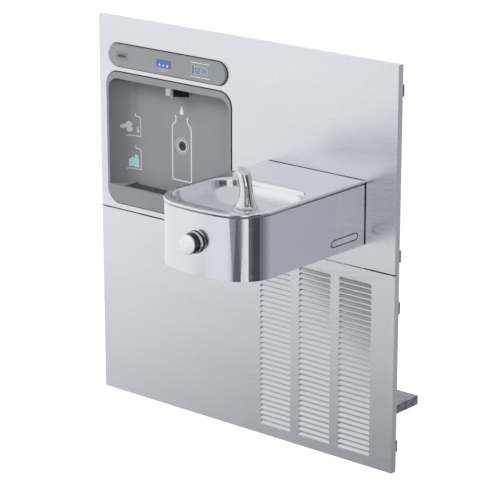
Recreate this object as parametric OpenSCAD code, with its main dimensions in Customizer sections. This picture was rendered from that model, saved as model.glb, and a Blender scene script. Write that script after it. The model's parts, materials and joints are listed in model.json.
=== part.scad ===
// Wall-recessed bottle filling station with a drinking fountain and a chiller.
// Millimetres. +X right, +Y into the wall, +Z up. The origin is the middle of the
// lower edge of the panels, on the finished wall face that their hems rest on.

/* [Panels] */
// Width of both wall panels
panel_w = 965; // [930:5:1000]
// Height from the lower edge of the lower panel to the top
panel_h = 1021; // [1000:1:1060]
// Thickness of the stainless sheet of the panels
sheet = 1.5; // [1.2:0.1:2]
// Depth of the side returns, from the front face to the wall
return_d = 17; // [15:0.5:20]
// Width of the hem that rests on the wall
hem_w = 14; // [8:1:20]
// Height of the seam between the panels
seam_z = 507.5; // [505:0.5:510]
// Gap at the seam
seam_gap = 2.5; // [1.5:0.1:3]

/* [Louvres] */
// Columns of louvres
louvre_cols = 3; // [1:1:3]
// Louvres in a column
louvre_rows = 32; // [4:1:32]
// Width of a louvre
louvre_w = 99; // [80:1:105]
// Plain strip between two columns
louvre_strip = 26.5; // [20:0.5:30]
// Distance from the last column to the right edge of the panel
louvre_margin = 69.5; // [60:0.5:80]
// Height of the lowest louvre above the lower edge
louvre_low = 28; // [24:1:32]
// Distance from louvre to louvre
louvre_pitch = 14; // [12:0.1:14.2]
// Height of the opening of a louvre
louvre_h = 10.4; // [8:0.1:11]
// How far the pressed edge of a louvre lies behind the face
louvre_depth = 6.5; // [4:0.1:8]
// Radius of the upper corners of an opening
louvre_r = 5; // [2:0.5:5]

/* [Bottle alcove] */
// Sideways place of the middle of the alcove
alcove_x = -244.5; // [-250:0.5:-240]
// Width of the alcove surround
alcove_w = 425; // [400:1:430]
// Height of the lower edge of the surround
alcove_z = 526; // [522:1:530]
// Height of the surround
alcove_h = 351; // [340:1:352]
// Corner radius of the surround
alcove_r = 38; // [34:1:44]
// Depth of the alcove behind the panel face
alcove_depth = 54; // [50:0.5:60]
// Radius between the side walls and the back wall
alcove_back_r = 45; // [38:1:50]
// Wall of the moulded housing
alcove_t = 3; // [2.5:0.1:3.5]
// Band of the surround above the opening
rim_top = 17; // [14:0.5:20]
// Band of the surround below the opening, the front of the drip tray
rim_low = 47; // [44:0.5:50]
// Band of the surround at either side
rim_side = 6; // [5:0.5:8]
// How far the surround stands in front of the panels
rim_proud = 2.5; // [1.5:0.1:4]
// Slots along one row of the drip grille
grille_cols = 5; // [2:1:6]
// Rows of slots in the drip grille
grille_rows = 3; // [1:1:3]

/* [Display strip] */
// Width of the strip
strip_w = 402; // [380:1:410]
// Height of the strip
strip_h = 59.5; // [50:0.5:62]
// Plain panel between the alcove surround and the strip
strip_gap = 15.5; // [12:0.5:20]
// How far the strip stands in front of the panels
strip_proud = 7; // [5:0.5:9]
// Bevel around the front of the strip
strip_bevel = 2; // [1:0.1:3]

/* [Fountain] */
// Sideways place of the middle of the fountain
fountain_x = 240; // [236:0.5:244]
// Width of the fountain
fountain_w = 300; // [290:1:306]
// Height of its deck
fountain_top = 728; // [722:1:734]
// Height from the lower edge of the apron to the deck
fountain_h = 159; // [152:1:164]
// Reach from the panel face to the foremost point
fountain_reach = 443; // [430:1:455]
// Radius of the front corners
fountain_r = 90; // [80:1:100]
// Radius of the slightly bowed front
fountain_bow_r = 450; // [380:5:600]
// Sheet of the apron
apron_t = 1.5; // [1.2:0.1:2]
// Sheet of the deck and the bowl
deck_t = 1.5; // [1.2:0.1:2]
// Depth of the turned-down edge of the deck
deck_edge = 9; // [7:0.5:11]
// Width of the bowl at the deck
bowl_w = 272; // [262:1:274]
// Length of the bowl from back to front
bowl_l = 242; // [230:1:248]
// Corner radius of the bowl at the deck
bowl_r = 70; // [60:1:80]
// Plain deck between the bowl and the foremost point
bowl_front = 33; // [31:1:38]
// Depth of the bowl at the drain
bowl_depth = 62; // [50:1:66]

/* [Push button] */
// Diameter of the cap
button_d = 47; // [42:0.5:50]
// Length of the cap
button_l = 20; // [18:0.5:24]
// Travel of the cap
button_travel = 5; // [3:0.5:6]
// Height of the button below the deck
button_drop = 80; // [76:1:84]

/* [Chiller] */
// Width of the condenser
condenser_w = 240; // [200:5:250]
// Height of the condenser
condenser_h = 240; // [220:5:260]
// Depth of the condenser
condenser_d = 38; // [30:1:44]
// Diameter of the fan
fan_d = 170; // [140:2:190]
// Blades of the fan
fan_blades = 5; // [3:1:7]
// Diameter of the compressor shell
compressor_d = 126; // [110:1:132]
// Diameter of the insulated cooling tank
tank_d = 156; // [140:1:164]
// Height of the insulated cooling tank
tank_h = 250; // [200:5:270]

/* [Hidden] */

$fn = 48;
over = 1;
fit = 0.5;
run_fit = 0.06;
seat = 0.3;

// Reference planes
front_y = -return_d;
back_face_y = front_y + sheet;
side_x = panel_w / 2;
lower_top = seam_z - seam_gap / 2;
upper_low = seam_z + seam_gap / 2;
seam_return_share = 0.6;
seam_return_d = return_d * seam_return_share;

// Wall frame: rolled channels set back behind the alcove
channel = 41;
channel_t = 2.5;
channel_lip = 9;
frame_y = 48;
frame_back_y = frame_y + channel;
post_inset = 95;
post_x = side_x - post_inset;
post_low = 30;
post_top = 950;
stud_hole_r = 4.5;
stud_hole_low = 120;
stud_hole_rise = 700;
stud_hole_shares = [0.3, 0.7];
bolt_r = 4;
bolt_head_r = 6.5;
bolt_head_h = 5;

// Alcove housing
alcove_top = alcove_z + alcove_h;
rim_lap = 4;
rim_front_y = front_y - rim_proud;
alcove_back_y = front_y + alcove_depth;
cavity_w = alcove_w - 2 * rim_side;
cavity_low = alcove_z + rim_low;
cavity_top = alcove_top - rim_top;
cavity_r = alcove_r - rim_side;
lip_t = 7.5;
grille_t = 3;
grille_drop = 4;
grille_ledge = 5;
grille_edge = 7;
grille_slot_h = 5;
grille_lift = 12;
grille_top = cavity_low - grille_drop;
grille_w = cavity_w - 2 * alcove_back_r;
grille_y0 = rim_front_y + lip_t + seat;
grille_y1 = alcove_back_y - seat;
sump_depth = 18;
sump_low = grille_top - grille_t - sump_depth;
spout_r = 9;
spout_bore_r = 6;
spout_l = 14;
spout_y = (grille_y0 + grille_y1) / 2;

// Nozzle under the roof of the alcove
nozzle_w = 48;
nose_w = 17;
nose_l = 9;
nozzle_h = 22;
nozzle_fall = 9;
nozzle_bore_r = 7;
insert_r = 6.9;
insert_l = 16;
insert_show = 2;
nozzle_y = front_y + nose_l + nozzle_bore_r + 3 * alcove_t / 2;

// Display strip and its control box
strip_shift = 0.5;
strip_x = alcove_x - strip_shift;
strip_z = alcove_top + strip_gap + strip_h / 2;
strip_wall = 4;
strip_face_t = 3;
control_end = 18;
control_edge = 6;
control_w = strip_w - 2 * control_end;
control_h = strip_h - 2 * control_edge;
control_d = 34;
control_t = 2;
board_t = 1.6;
board_back = 12;
board_y = front_y + board_back;
board_part_h = 9;
board_part_pitch = 57;
window_w = 49;
window_h = 19;
window_shift = -6.5;
display_w = 58;
display_h = 26;
display_shift = 116;
lens_w = 41;
lens_h = 20;
lens_shift = -151.5;
lens_t = 2;
lens_proud = 0.4;

// Bottle sensor on the back wall
sensor_z = 697;
sensor_r = 12;
sensor_l = 9;

// Fountain
deck_over = 1.5;
fountain_low = fountain_top - fountain_h;
fountain_half = fountain_w / 2;
fountain_front = front_y - fountain_reach;
bow_y = fountain_front + fountain_bow_r;
corner_x = fountain_half - fountain_r;
corner_reach = fountain_bow_r - fountain_r;
corner_y = bow_y - sqrt(corner_reach * corner_reach - corner_x * corner_x);
corner_angle = atan2(bow_y - corner_y, corner_x);
apron_lip = 14;
cover_gap = 1;
cover_screw_r = 2;
cover_screw_head_r = 4;
cover_screw_l = 9;
cover_screw_shares = [0.15, 0.6];
bowl_y1 = fountain_front + bowl_front;
bowl_y0 = bowl_y1 + bowl_l;
bowl_cy = (bowl_y0 + bowl_y1) / 2;
drain_r = 21;
drain_bore_r = 16;
drain_back = 10;
drain_y = bowl_cy + drain_back;
bowl_low = fountain_top - bowl_depth;
strainer_r = 19;
strainer_t = 2.5;
strainer_hole_r = 2;
strainer_ring_share = 0.62;
tail_r = 15.9;
tail_bore_r = 14.4;
tail_nut_r = 24;
tail_nut_h = 12;
tail_drop = 26;
drain_turn_r = 24;
drain_out_y = 150;
drain_out_z = 385;
drain_show = 38;
drain_tee_r = 11;
drain_tee_l = 24;
slip_nut_r = 23;
slip_nut_l = 20;
slip_nut_y = drain_out_y + drain_turn_r + 2 * deck_t;
drain_end_y = slip_nut_y + slip_nut_l + drain_show;

// Bubbler on its pad in the front right corner of the bowl
bubbler_side = 85;
bubbler_in = 82;
bubbler_x = fountain_x + bubbler_side;
bubbler_y = fountain_front + bubbler_in;
pad_r = 29;
pad_low = 60;
pad_drop = 2;
bubbler_base_r = 27.5;
bubbler_base_h = 6;
bubbler_neck_r = 17;
bubbler_tip_r = 16;
bubbler_h = 92;
bubbler_lean_x = 19;
bubbler_lean_y = 4;
bubbler_waist_share = 0.25;
bubbler_dome_share = 0.84;
bubbler_end_share = 0.03;
slit_w = 2.4;
slit_h = 34;
slit_low = 10;
shank_r = 10;
shank_l = 72;
shank_bore_r = 5;
shank_nut_r = 17;
shank_nut_h = 8;

// Push button
button_z = fountain_top - button_drop;
collar_wall = 2;
collar_r = button_d / 2 + collar_wall;
collar_l = 14;
collar_floor = 3;
collar_y1 = fountain_front - collar_l;
sleeve_r = 15;
sleeve_l = 22;
cap_wall = 2.5;
cap_cup_r = 17;
cap_gap = 1;
cap_rear_y = fountain_front - collar_floor - button_travel - cap_gap;
cap_front_y = cap_rear_y - button_l;
stem_r = 5;
button_nut_r = 24;
button_nut_h = 6;
button_nut_y0 = fountain_front + apron_t + seat + button_nut_r * button_nut_r / (2 * fountain_bow_r);
spring_r = 12;
spring_wire_r = 0.8;
spring_turns = 5;
spring_y0 = cap_front_y + cap_wall + spring_wire_r;
spring_y1 = fountain_front - collar_floor - spring_wire_r;
valve_r = 17;
valve_l = 44;
valve_y0 = fountain_front + sleeve_l;
stem_gap = 2;
stem_end_y = valve_y0 + valve_l / 2;
valve_port_r = 6;
valve_port_l = 9;
valve_in_share = 0.3;
valve_out_share = 0.75;
bubbler_bend_r = 12;

// Side badge, bare
badge_l = 104;
badge_h = 21;
badge_t = 1.4;
badge_z = 598;
badge_in = 80;
badge_y = front_y - badge_in;

// Fountain bracket and its rails
arm_t = 3;
arm_h = 118;
arm_rise = 14;
arm_low = fountain_low + arm_rise;
arm_l = 250;
bracket_t = 4;
bracket_inset = 6;
bracket_drop = 18;
bracket_rise = 10;
bracket_w = fountain_w - 2 * bracket_inset;
bracket_low = fountain_low - bracket_drop;
bracket_high = fountain_top + bracket_rise;
pass_margin = 2;
bracket_bolt_share = 0.38;
bracket_window_share = 0.6;
fountain_rail_z = [bracket_low + channel / 2, bracket_high - channel / 2];

// Chiller
shelf_t = 2.5;
shelf_z = post_low + channel;
shelf_top = shelf_z + shelf_t;
shelf_x0 = -post_x;
shelf_margin = 10;
shelf_y0 = frame_y;
shelf_y1 = 306;
shelf_skirt = 22;
condenser_x = 195;
condenser_gap = 4;
shelf_x1 = condenser_x + condenser_w / 2 + shelf_margin;
condenser_y0 = frame_back_y + condenser_gap;
condenser_y1 = condenser_y0 + condenser_d;
condenser_low = shelf_top;
condenser_z = condenser_low + condenser_h / 2;
fin_t = 0.8;
fin_count = 26;
end_plate_t = 2;
coil_tube_r = 4.8;
coil_rows = 6;
shroud_d = 24;
shroud_t = 1.5;
shroud_y1 = condenser_y1 + shroud_d;
fan_r = fan_d / 2;
fan_gap = 4;
fan_hub_r = 24;
fan_hub_l = 20;
fan_y = condenser_y1 + shroud_d / 2;
fan_shaft_r = 3;
fan_shaft_hole_r = fan_shaft_r + run_fit;
fan_pitch = 32;
fan_shaft_in = 4;
blade_w = 41;
blade_t = 1.6;
motor_r = 40;
motor_l = 46;
motor_gap = 14;
motor_boss_r = 20;
motor_boss_l = 9;
motor_y0 = shroud_y1 + motor_gap;
motor_arm_w = 14;
motor_arm_t = 3;
compressor_r = compressor_d / 2;
compressor_x = -6;
compressor_y = 214;
compressor_foot = 18;
compressor_body_h = 112;
compressor_dome_share = 0.42;
compressor_plate_t = 3;
compressor_margin = 11;
compressor_plate = compressor_d + 2 * compressor_margin;
compressor_base_r = 38;
grommet_neck_r = 6;
grommet_r = 11;
grommet_h = 16;
tank_r = tank_d / 2;
tank_x = -186;
tank_y = 214;
tank_cap_r = 22;
drier_r = 11;
drier_l = 90;
drier_x = 30;
drier_y = condenser_y0 + condenser_d / 2;
drier_rise = 66;
drier_z = shelf_top + drier_rise;
capillary_r = 1.6;
capillary_bend_r = 8;
suction_r = 5.5;
suction_rise = 76;
drier_cone_share = 0.15;
box_wall = 2;
junction_w = 92;
junction_d = 54;
junction_h = 62;
junction_x = -320;
junction_y = 196;
gland_r = 10;
gland_bore_r = 5.5;
gland_l = 14;
thermo_w = 46;
thermo_d = 34;
thermo_h = 62;
thermo_x = -84;
thermo_gap = 16;
thermo_y = frame_back_y + thermo_gap;
dial_r = 17;
dial_h = 12;
dial_shaft_r = 4;
dial_shaft_l = 9;

// Water filter on the left post
filter_x = -312;
filter_gap = 66;
filter_y = frame_back_y + filter_gap;
head_r = 46;
head_h = 52;
head_z = 452;
head_cap_r = 23;
head_cap_h = 10;
head_arm_w = 74;
head_arm_h = 31;
head_arm_rise = 16;
head_port_rise = 31;
cartridge_r = 41;
cartridge_h = 236;
cartridge_neck_r = 26;
cartridge_neck_h = 22;

// Tubes and the valve
tube_r = 4.76;
tube_bend_r = 12;
inlet_side = 34;
inlet_back = 84;
inlet_x = filter_x - head_r - inlet_side;
inlet_y1 = filter_y + inlet_back;
port_z = head_z + head_port_rise;
port_l = 6;
tank_port = 30;
tank_port_l = 6;
tee_z = 604;
tee_r = 8;
tee_l = 13;
fountain_tube_side = 50;
bubbler_tube_side = 58;
fountain_tube_x = fountain_x + fountain_tube_side;
bubbler_tube_x = fountain_x + bubbler_tube_side;
bubbler_tube_drop = 32;
nozzle_tube_rise = 9;
nozzle_tube_z = alcove_top + nozzle_tube_rise;
hose_r = 8;
hose_bend_r = 18;
hose_z = 450;
solenoid_x = tank_x + tank_port;
solenoid_gap = 24;
solenoid_y = frame_back_y + solenoid_gap;
solenoid_z = 908;
solenoid_w = 44;
solenoid_d = 40;
solenoid_h = 30;
solenoid_coil_r = 15;
solenoid_coil_h = 34;
solenoid_port_share = 0.4;

// A box from one corner to the other
module span(a, b) {
    translate(a) cube(b - a);
}

// A flat shape drawn in X and Z, made solid from y0 to y1
module along_y(y0, y1) {
    translate([0, y1, 0]) rotate([90, 0, 0]) linear_extrude(y1 - y0) children();
}

// A flat shape drawn in Y and Z, made solid from x0 to x1
module along_x(x0, x1) {
    translate([x0, 0, 0]) rotate([90, 0, 90]) linear_extrude(x1 - x0) children();
}

// A round bar along Y
module bar_y(r, y0, y1) {
    translate([0, y1, 0]) rotate([90, 0, 0]) cylinder(r = r, h = y1 - y0);
}

// A round bar along X
module bar_x(r, x0, x1) {
    translate([x0, 0, 0]) rotate([0, 90, 0]) cylinder(r = r, h = x1 - x0);
}

// A rectangle with round corners, about its middle
module rounded(w, h, r) {
    square([w - 2 * r, h], center = true);
    square([w, h - 2 * r], center = true);
    for (sx = [-1, 1], sz = [-1, 1])
        translate([sx * (w / 2 - r), sz * (h / 2 - r)]) circle(r);
}

// A strip with fully round ends, about its middle
module pill(w, h) {
    square([w - h, h], center = true);
    for (s = [-1, 1]) translate([s * (w - h) / 2, 0]) circle(h / 2);
}

// Points of an arc
function arc(cx, cy, r, a0, a1, steps) =
    [for (i = [0 : steps]) let (a = a0 + (a1 - a0) * i / steps) [cx + r * cos(a), cy + r * sin(a)]];

// Plan of the fountain, grown by g: straight sides, round corners and a bowed front
function fountain_plan(g, back_y) = concat(
    [[fountain_x + fountain_half + g, back_y]],
    [for (p = arc(fountain_x + corner_x, corner_y, fountain_r + g, 0, -corner_angle, 14)) p],
    [for (p = arc(fountain_x, bow_y, fountain_bow_r + g, -corner_angle, corner_angle - 180, 12)) p],
    [for (p = arc(fountain_x - corner_x, corner_y, fountain_r + g, corner_angle - 180, -180, 14)) p],
    [[fountain_x - fountain_half - g, back_y]]);

// A straight tube with round elbows through a list of corner points
module route(points, r, bend) {
    last = len(points) - 1;
    for (i = [0 : last - 1]) {
        along = points[i + 1] - points[i];
        run = norm(along);
        d = along / run;
        skip_a = i == 0 ? 0 : bend;
        skip_b = i == last - 1 ? 0 : bend;
        translate(points[i] + d * skip_a)
            rotate([0, acos(d[2]), atan2(d[1], d[0])])
                cylinder(r = r, h = run - skip_a - skip_b);
    }
    for (i = [1 : last - 1]) {
        a = (points[i] - points[i - 1]) / norm(points[i] - points[i - 1]);
        b = (points[i + 1] - points[i]) / norm(points[i + 1] - points[i]);
        n = cross(b, a);
        centre = points[i] - a * bend + b * bend;
        multmatrix([[-b[0], a[0], n[0], centre[0]],
                    [-b[1], a[1], n[1], centre[1]],
                    [-b[2], a[2], n[2], centre[2]],
                    [0, 0, 0, 1]])
            rotate_extrude(angle = 90) translate([bend, 0]) circle(r, $fn = 24);
    }
}

// Channel section, open towards +Y, about the middle of its web
module channel_section() {
    difference() {
        square([channel, channel], center = true);
        square([channel - 2 * channel_t, channel - 2 * channel_t], center = true);
        translate([-channel / 2 + channel_lip, channel / 2 - channel_t - over])
            square([channel - 2 * channel_lip, channel_t + 2 * over]);
    }
}

// Upright channel, its middle at x and behind the frame plane
module upright(x, z0, z1) {
    translate([x, frame_y + channel / 2, z0]) linear_extrude(z1 - z0) channel_section();
}

// Level channel between two posts
module rail(z, x0, x1) {
    translate([x0, frame_y + channel / 2, z])
        rotate([0, 90, 0]) linear_extrude(x1 - x0) channel_section();
}

// Bolt with a hexagon head at y, its shank towards +Y
module bolt_y(x, y, z, shank) {
    translate([x, 0, z]) {
        bar_y(bolt_r, y - over, y + shank);
        translate([0, y, 0]) rotate([90, 0, 0]) cylinder(r = bolt_head_r, h = bolt_head_h, $fn = 6);
    }
}

// Folded panel: face, side returns and the hems on the wall
module panel_fold(z0, z1, top_d, low_d) {
    for (s = [-1, 1]) {
        span([s > 0 ? side_x - sheet : -side_x, front_y, z0], [s > 0 ? side_x : sheet - side_x, 0, z1]);
        span([s > 0 ? side_x - hem_w : -side_x, -sheet, z0], [s > 0 ? side_x : hem_w - side_x, 0, z1]);
    }
    span([-side_x, front_y, z0], [side_x, front_y + low_d, z0 + sheet]);
    span([-side_x, front_y, z1 - sheet], [side_x, front_y + top_d, z1]);
}

function louvre_x(col) =
    side_x - louvre_margin - louvre_w - (louvre_cols - 1 - col) * (louvre_w + louvre_strip);

// Opening of one louvre, its upper corners round
module louvre_opening() {
    square([louvre_w, louvre_h - louvre_r]);
    translate([louvre_r, 0]) square([louvre_w - 2 * louvre_r, louvre_h]);
    for (x = [louvre_r, louvre_w - louvre_r]) translate([x, louvre_h - louvre_r]) circle(louvre_r);
}

// Pressed blade of one louvre: its lower edge stays in the face, its upper edge goes in
module louvre_blade() {
    along_x(-sheet, louvre_w + sheet)
        polygon([[0, 0], [louvre_depth, louvre_h], [louvre_depth + sheet, louvre_h], [sheet, 0]]);
    for (x = [-sheet, louvre_w])
        along_x(x, x + sheet)
            polygon([[sheet, 0], [louvre_depth + sheet, louvre_h], [sheet, louvre_h]]);
}

module each_louvre() {
    for (col = [0 : louvre_cols - 1], row = [0 : louvre_rows - 1])
        translate([louvre_x(col), 0, louvre_low + row * louvre_pitch]) children();
}

module lower_panel() {
    color("#c6cad0") {
        along_y(front_y, back_face_y) difference() {
            translate([-side_x, 0]) square([panel_w, lower_top]);
            for (col = [0 : louvre_cols - 1], row = [0 : louvre_rows - 1])
                translate([louvre_x(col), louvre_low + row * louvre_pitch]) louvre_opening();
        }
        each_louvre() translate([0, front_y, 0]) louvre_blade();
        panel_fold(0, lower_top, seam_return_d, return_d);
        span([-side_x, -sheet, 0], [side_x, 0, hem_w]);
    }
}

module upper_panel() {
    color("#c6cad0") {
        along_y(front_y, back_face_y) difference() {
            translate([-side_x, upper_low]) square([panel_w, panel_h - upper_low]);
            translate([alcove_x, (alcove_z + alcove_top) / 2])
                rounded(alcove_w - 2 * rim_lap, alcove_h - 2 * rim_lap, alcove_r - rim_lap);
            translate([strip_x, strip_z]) pill(strip_w - 2 * rim_lap, strip_h - 2 * rim_lap);
            translate([fountain_x - bracket_w / 2 - pass_margin, arm_low - pass_margin])
                square([bracket_w + 2 * pass_margin, arm_h + 2 * pass_margin]);
        }
        panel_fold(upper_low, panel_h, return_d, seam_return_d);
        span([-side_x, -sheet, panel_h - hem_w], [side_x, 0, panel_h]);
    }
}

// Plan of the alcove box at a wall offset g, with round rear corners
module alcove_plan(g) {
    w = cavity_w + 2 * g;
    r = alcove_back_r + g;
    translate([alcove_x - w / 2, rim_front_y - over]) square([w, alcove_depth + rim_proud + over + g - r]);
    translate([alcove_x - w / 2 + r, rim_front_y]) square([w - 2 * r, alcove_depth + rim_proud + g]);
    for (s = [-1, 1]) translate([alcove_x + s * (w / 2 - r), alcove_back_y + g - r]) circle(r);
}

// Moulded surround, box and drip tray of the alcove
module alcove_housing() {
    mid_z = (alcove_z + alcove_top) / 2;
    color("#8f9197") difference() {
        union() {
            translate([alcove_x, 0, mid_z]) along_y(rim_front_y, front_y) rounded(alcove_w, alcove_h, alcove_r);
            intersection() {
                translate([alcove_x, 0, mid_z]) along_y(front_y - rim_proud / 2, alcove_back_y + alcove_t)
                    rounded(alcove_w - 2 * rim_lap - 2 * fit, alcove_h - 2 * rim_lap - 2 * fit, alcove_r - rim_lap);
                translate([0, 0, alcove_z]) linear_extrude(alcove_h) alcove_plan(alcove_t - 2 * fit);
            }
        }
        intersection() {
            translate([alcove_x, 0, (cavity_low + cavity_top) / 2 - cavity_r / 2])
                along_y(rim_front_y - over, alcove_back_y) rounded(cavity_w, cavity_top - cavity_low + cavity_r, cavity_r);
            translate([0, 0, cavity_low]) linear_extrude(cavity_top) alcove_plan(0);
        }
        span([alcove_x - grille_w / 2 - seat, grille_y0 - seat, grille_top - grille_t],
             [alcove_x + grille_w / 2 + seat, alcove_back_y, cavity_low + over]);
        span([alcove_x - grille_w / 2 + grille_ledge, grille_y0 + grille_ledge, sump_low],
             [alcove_x + grille_w / 2 - grille_ledge, grille_y1 - grille_ledge, cavity_low]);
        translate([alcove_x, spout_y, alcove_z]) cylinder(r = spout_bore_r, h = rim_low);
        translate([alcove_x, 0, sensor_z]) bar_y(sensor_r, alcove_back_y - over, alcove_back_y + alcove_t + over);
        translate([alcove_x, nozzle_y, cavity_top - over]) cylinder(r = tube_r + fit, h = rim_top);
    }
}

// Lift-out grille over the drip tray
module drip_grille() {
    slot_l = (grille_w - 2 * grille_edge) / grille_cols - grille_edge;
    row_gap = (grille_y1 - grille_y0) / (grille_rows + 1);
    color("#74777d") translate([alcove_x, 0, grille_top - grille_t]) linear_extrude(grille_t) difference() {
        translate([-grille_w / 2, grille_y0]) square([grille_w, grille_y1 - grille_y0]);
        for (col = [0 : grille_cols - 1], row = [1 : grille_rows])
            translate([(col - (grille_cols - 1) / 2) * (slot_l + grille_edge), grille_y0 + row * row_gap])
                pill(slot_l, grille_slot_h);
    }
}

module tray_spout() {
    color("#5a5d62") translate([alcove_x, spout_y, 0]) difference() {
        union() {
            translate([0, 0, alcove_z + rim_lap + fit - spout_l]) cylinder(r = spout_r, h = spout_l);
            translate([0, 0, alcove_z + rim_lap + fit - 2 * spout_l]) cylinder(r = spout_bore_r + fit, h = 2 * spout_l);
        }
        translate([0, 0, alcove_z - 2 * spout_l]) cylinder(r = spout_bore_r - 2 * fit, h = 3 * spout_l);
    }
}

// Wedge-shaped body of the filling nozzle, wide at the back wall
module nozzle_wedge(y0, y1) {
    translate([alcove_x, 0, 0]) intersection() {
        translate([0, 0, cavity_top - 2 * nozzle_h]) linear_extrude(2 * nozzle_h)
            polygon([[-nose_w / 2, front_y + fit], [nose_w / 2, front_y + fit],
                     [nozzle_w / 2, alcove_back_y], [-nozzle_w / 2, alcove_back_y]]);
        along_x(-nozzle_w, nozzle_w)
            polygon([[y0, cavity_top], [y0, cavity_top - nozzle_h - nozzle_fall * (y0 - front_y) / alcove_depth],
                     [y1, cavity_top - nozzle_h - nozzle_fall * (y1 - front_y) / alcove_depth], [y1, cavity_top]]);
    }
}

module nozzle_shroud() {
    color("#a9abb0") nozzle_wedge(front_y + fit, front_y + nose_l);
}

module nozzle_body() {
    color("#17181a") difference() {
        nozzle_wedge(front_y + nose_l, alcove_back_y);
        translate([alcove_x, nozzle_y, cavity_top - 2 * nozzle_h])
            cylinder(r = nozzle_bore_r, h = 2 * nozzle_h + over);
    }
}

module nozzle_insert() {
    low = cavity_top - nozzle_h - nozzle_fall * (nozzle_y - front_y) / alcove_depth - insert_show;
    color("#c9ccd0") translate([alcove_x, nozzle_y, low]) difference() {
        cylinder(r = insert_r, h = insert_l);
        translate([0, 0, -over]) cylinder(r = insert_r / 2, h = insert_l / 2);
    }
}

module bottle_sensor() {
    color("#33353a") translate([alcove_x, 0, sensor_z]) {
        bar_y(sensor_r - fit / 2, alcove_back_y - lens_proud, alcove_back_y + sensor_l);
        bar_y(sensor_r + alcove_t, alcove_back_y + alcove_t, alcove_back_y + sensor_l);
    }
}

// Front strip with pockets for the windows
module strip_bezel() {
    color("#97999e") translate([strip_x, 0, strip_z]) difference() {
        union() {
            along_y(front_y - strip_proud + strip_bevel, front_y) pill(strip_w, strip_h);
            along_y(front_y - strip_proud, front_y - strip_proud + strip_bevel)
                pill(strip_w - 2 * strip_bevel, strip_h - 2 * strip_bevel);
            along_y(front_y, back_face_y + strip_wall)
                pill(strip_w - 2 * rim_lap - 2 * fit, strip_h - 2 * rim_lap - 2 * fit);
        }
        along_y(front_y - strip_proud + strip_face_t, back_face_y + strip_wall + over)
            pill(strip_w - 2 * rim_lap - 2 * strip_wall, strip_h - 2 * rim_lap - 2 * strip_wall);
        for (p = [[window_shift, window_w, window_h], [display_shift, display_w, display_h],
                  [lens_shift, lens_w, lens_h]])
            translate([p[0], 0, 0]) along_y(front_y - strip_proud - over, front_y)
                rounded(p[1] + fit, p[2] + fit, 2 * fit);
    }
}

// Window set into the strip, with a flange behind it
module strip_window(shift, w, h) {
    translate([strip_x + shift, 0, strip_z]) {
        along_y(front_y - strip_proud - lens_proud, front_y - strip_proud + strip_face_t) square([w, h], center = true);
        along_y(front_y - strip_proud + strip_face_t, front_y - strip_proud + strip_face_t + lens_t)
            square([w + 2 * lens_t, h + 2 * lens_t], center = true);
    }
}

module status_window() {
    color("#3f66b5") strip_window(window_shift, window_w, window_h);
}

module display_window() {
    color("#9fb4c4") strip_window(display_shift, display_w, display_h);
}

module strip_sensor_lens() {
    color("#5c5e63") strip_window(lens_shift, lens_w, lens_h);
}

// Closed box behind the strip that holds the board
module control_box() {
    color("#b9bcc1") translate([strip_x, 0, strip_z]) difference() {
        along_y(back_face_y + strip_wall, back_face_y + strip_wall + control_d) rounded(control_w, control_h, strip_wall);
        along_y(back_face_y + strip_wall - over, back_face_y + strip_wall + control_d - control_t)
            rounded(control_w - 2 * control_t, control_h - 2 * control_t, control_t);
    }
}

module control_board() {
    color("#2f6b45") translate([strip_x, 0, strip_z]) {
        along_y(board_y, board_y + board_t) rounded(control_w - 2 * control_t - fit, control_h - 2 * control_t - fit, control_t);
        for (shift = [window_shift, display_shift, lens_shift])
            translate([shift, 0, 0]) along_y(front_y - strip_proud + strip_face_t + lens_t, board_y)
                square([lens_w - 2 * lens_t, lens_h - 2 * lens_t], center = true);
        for (k = [-1 : 1])
            translate([k * board_part_pitch - lens_w, 0, 0]) along_y(board_y + board_t, board_y + board_t + board_part_h)
                square([lens_h, lens_h / 2], center = true);
    }
}

// Rings of the bowl: s runs from 1 at the deck to 0 at the drain
bowl_steps = 9;
bowl_corner_steps = 9;
function bowl_ring_angle(i) = 90 * i / bowl_steps;
function bowl_s(i) = i == bowl_steps ? 0 : sqrt(cos(bowl_ring_angle(i)));
function bowl_drop(i) = bowl_depth * pow(sin(bowl_ring_angle(i)), 1.2);
function bowl_rim(g) = [for (c = [0 : 3]) let (sx = c == 0 || c == 3 ? 1 : -1, sy = c < 2 ? 1 : -1)
    each [for (p = arc(fountain_x + sx * (bowl_w / 2 - bowl_r), bowl_cy + sy * (bowl_l / 2 - bowl_r),
        bowl_r + g, 90 * c, 90 * c + 90, bowl_corner_steps)) p]];
bowl_n = 4 * (bowl_corner_steps + 1);
function drain_ring(g) = [for (p = bowl_rim(0)) let (a = atan2(p[1] - drain_y, p[0] - fountain_x))
    [fountain_x + (drain_r + g) * cos(a), drain_y + (drain_r + g) * sin(a)]];
function bowl_ring(s, g, z) = let (rim = bowl_rim(g), low = drain_ring(g))
    [for (k = [0 : bowl_n - 1]) [low[k][0] + (rim[k][0] - low[k][0]) * s, low[k][1] + (rim[k][1] - low[k][1]) * s, z]];

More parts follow.
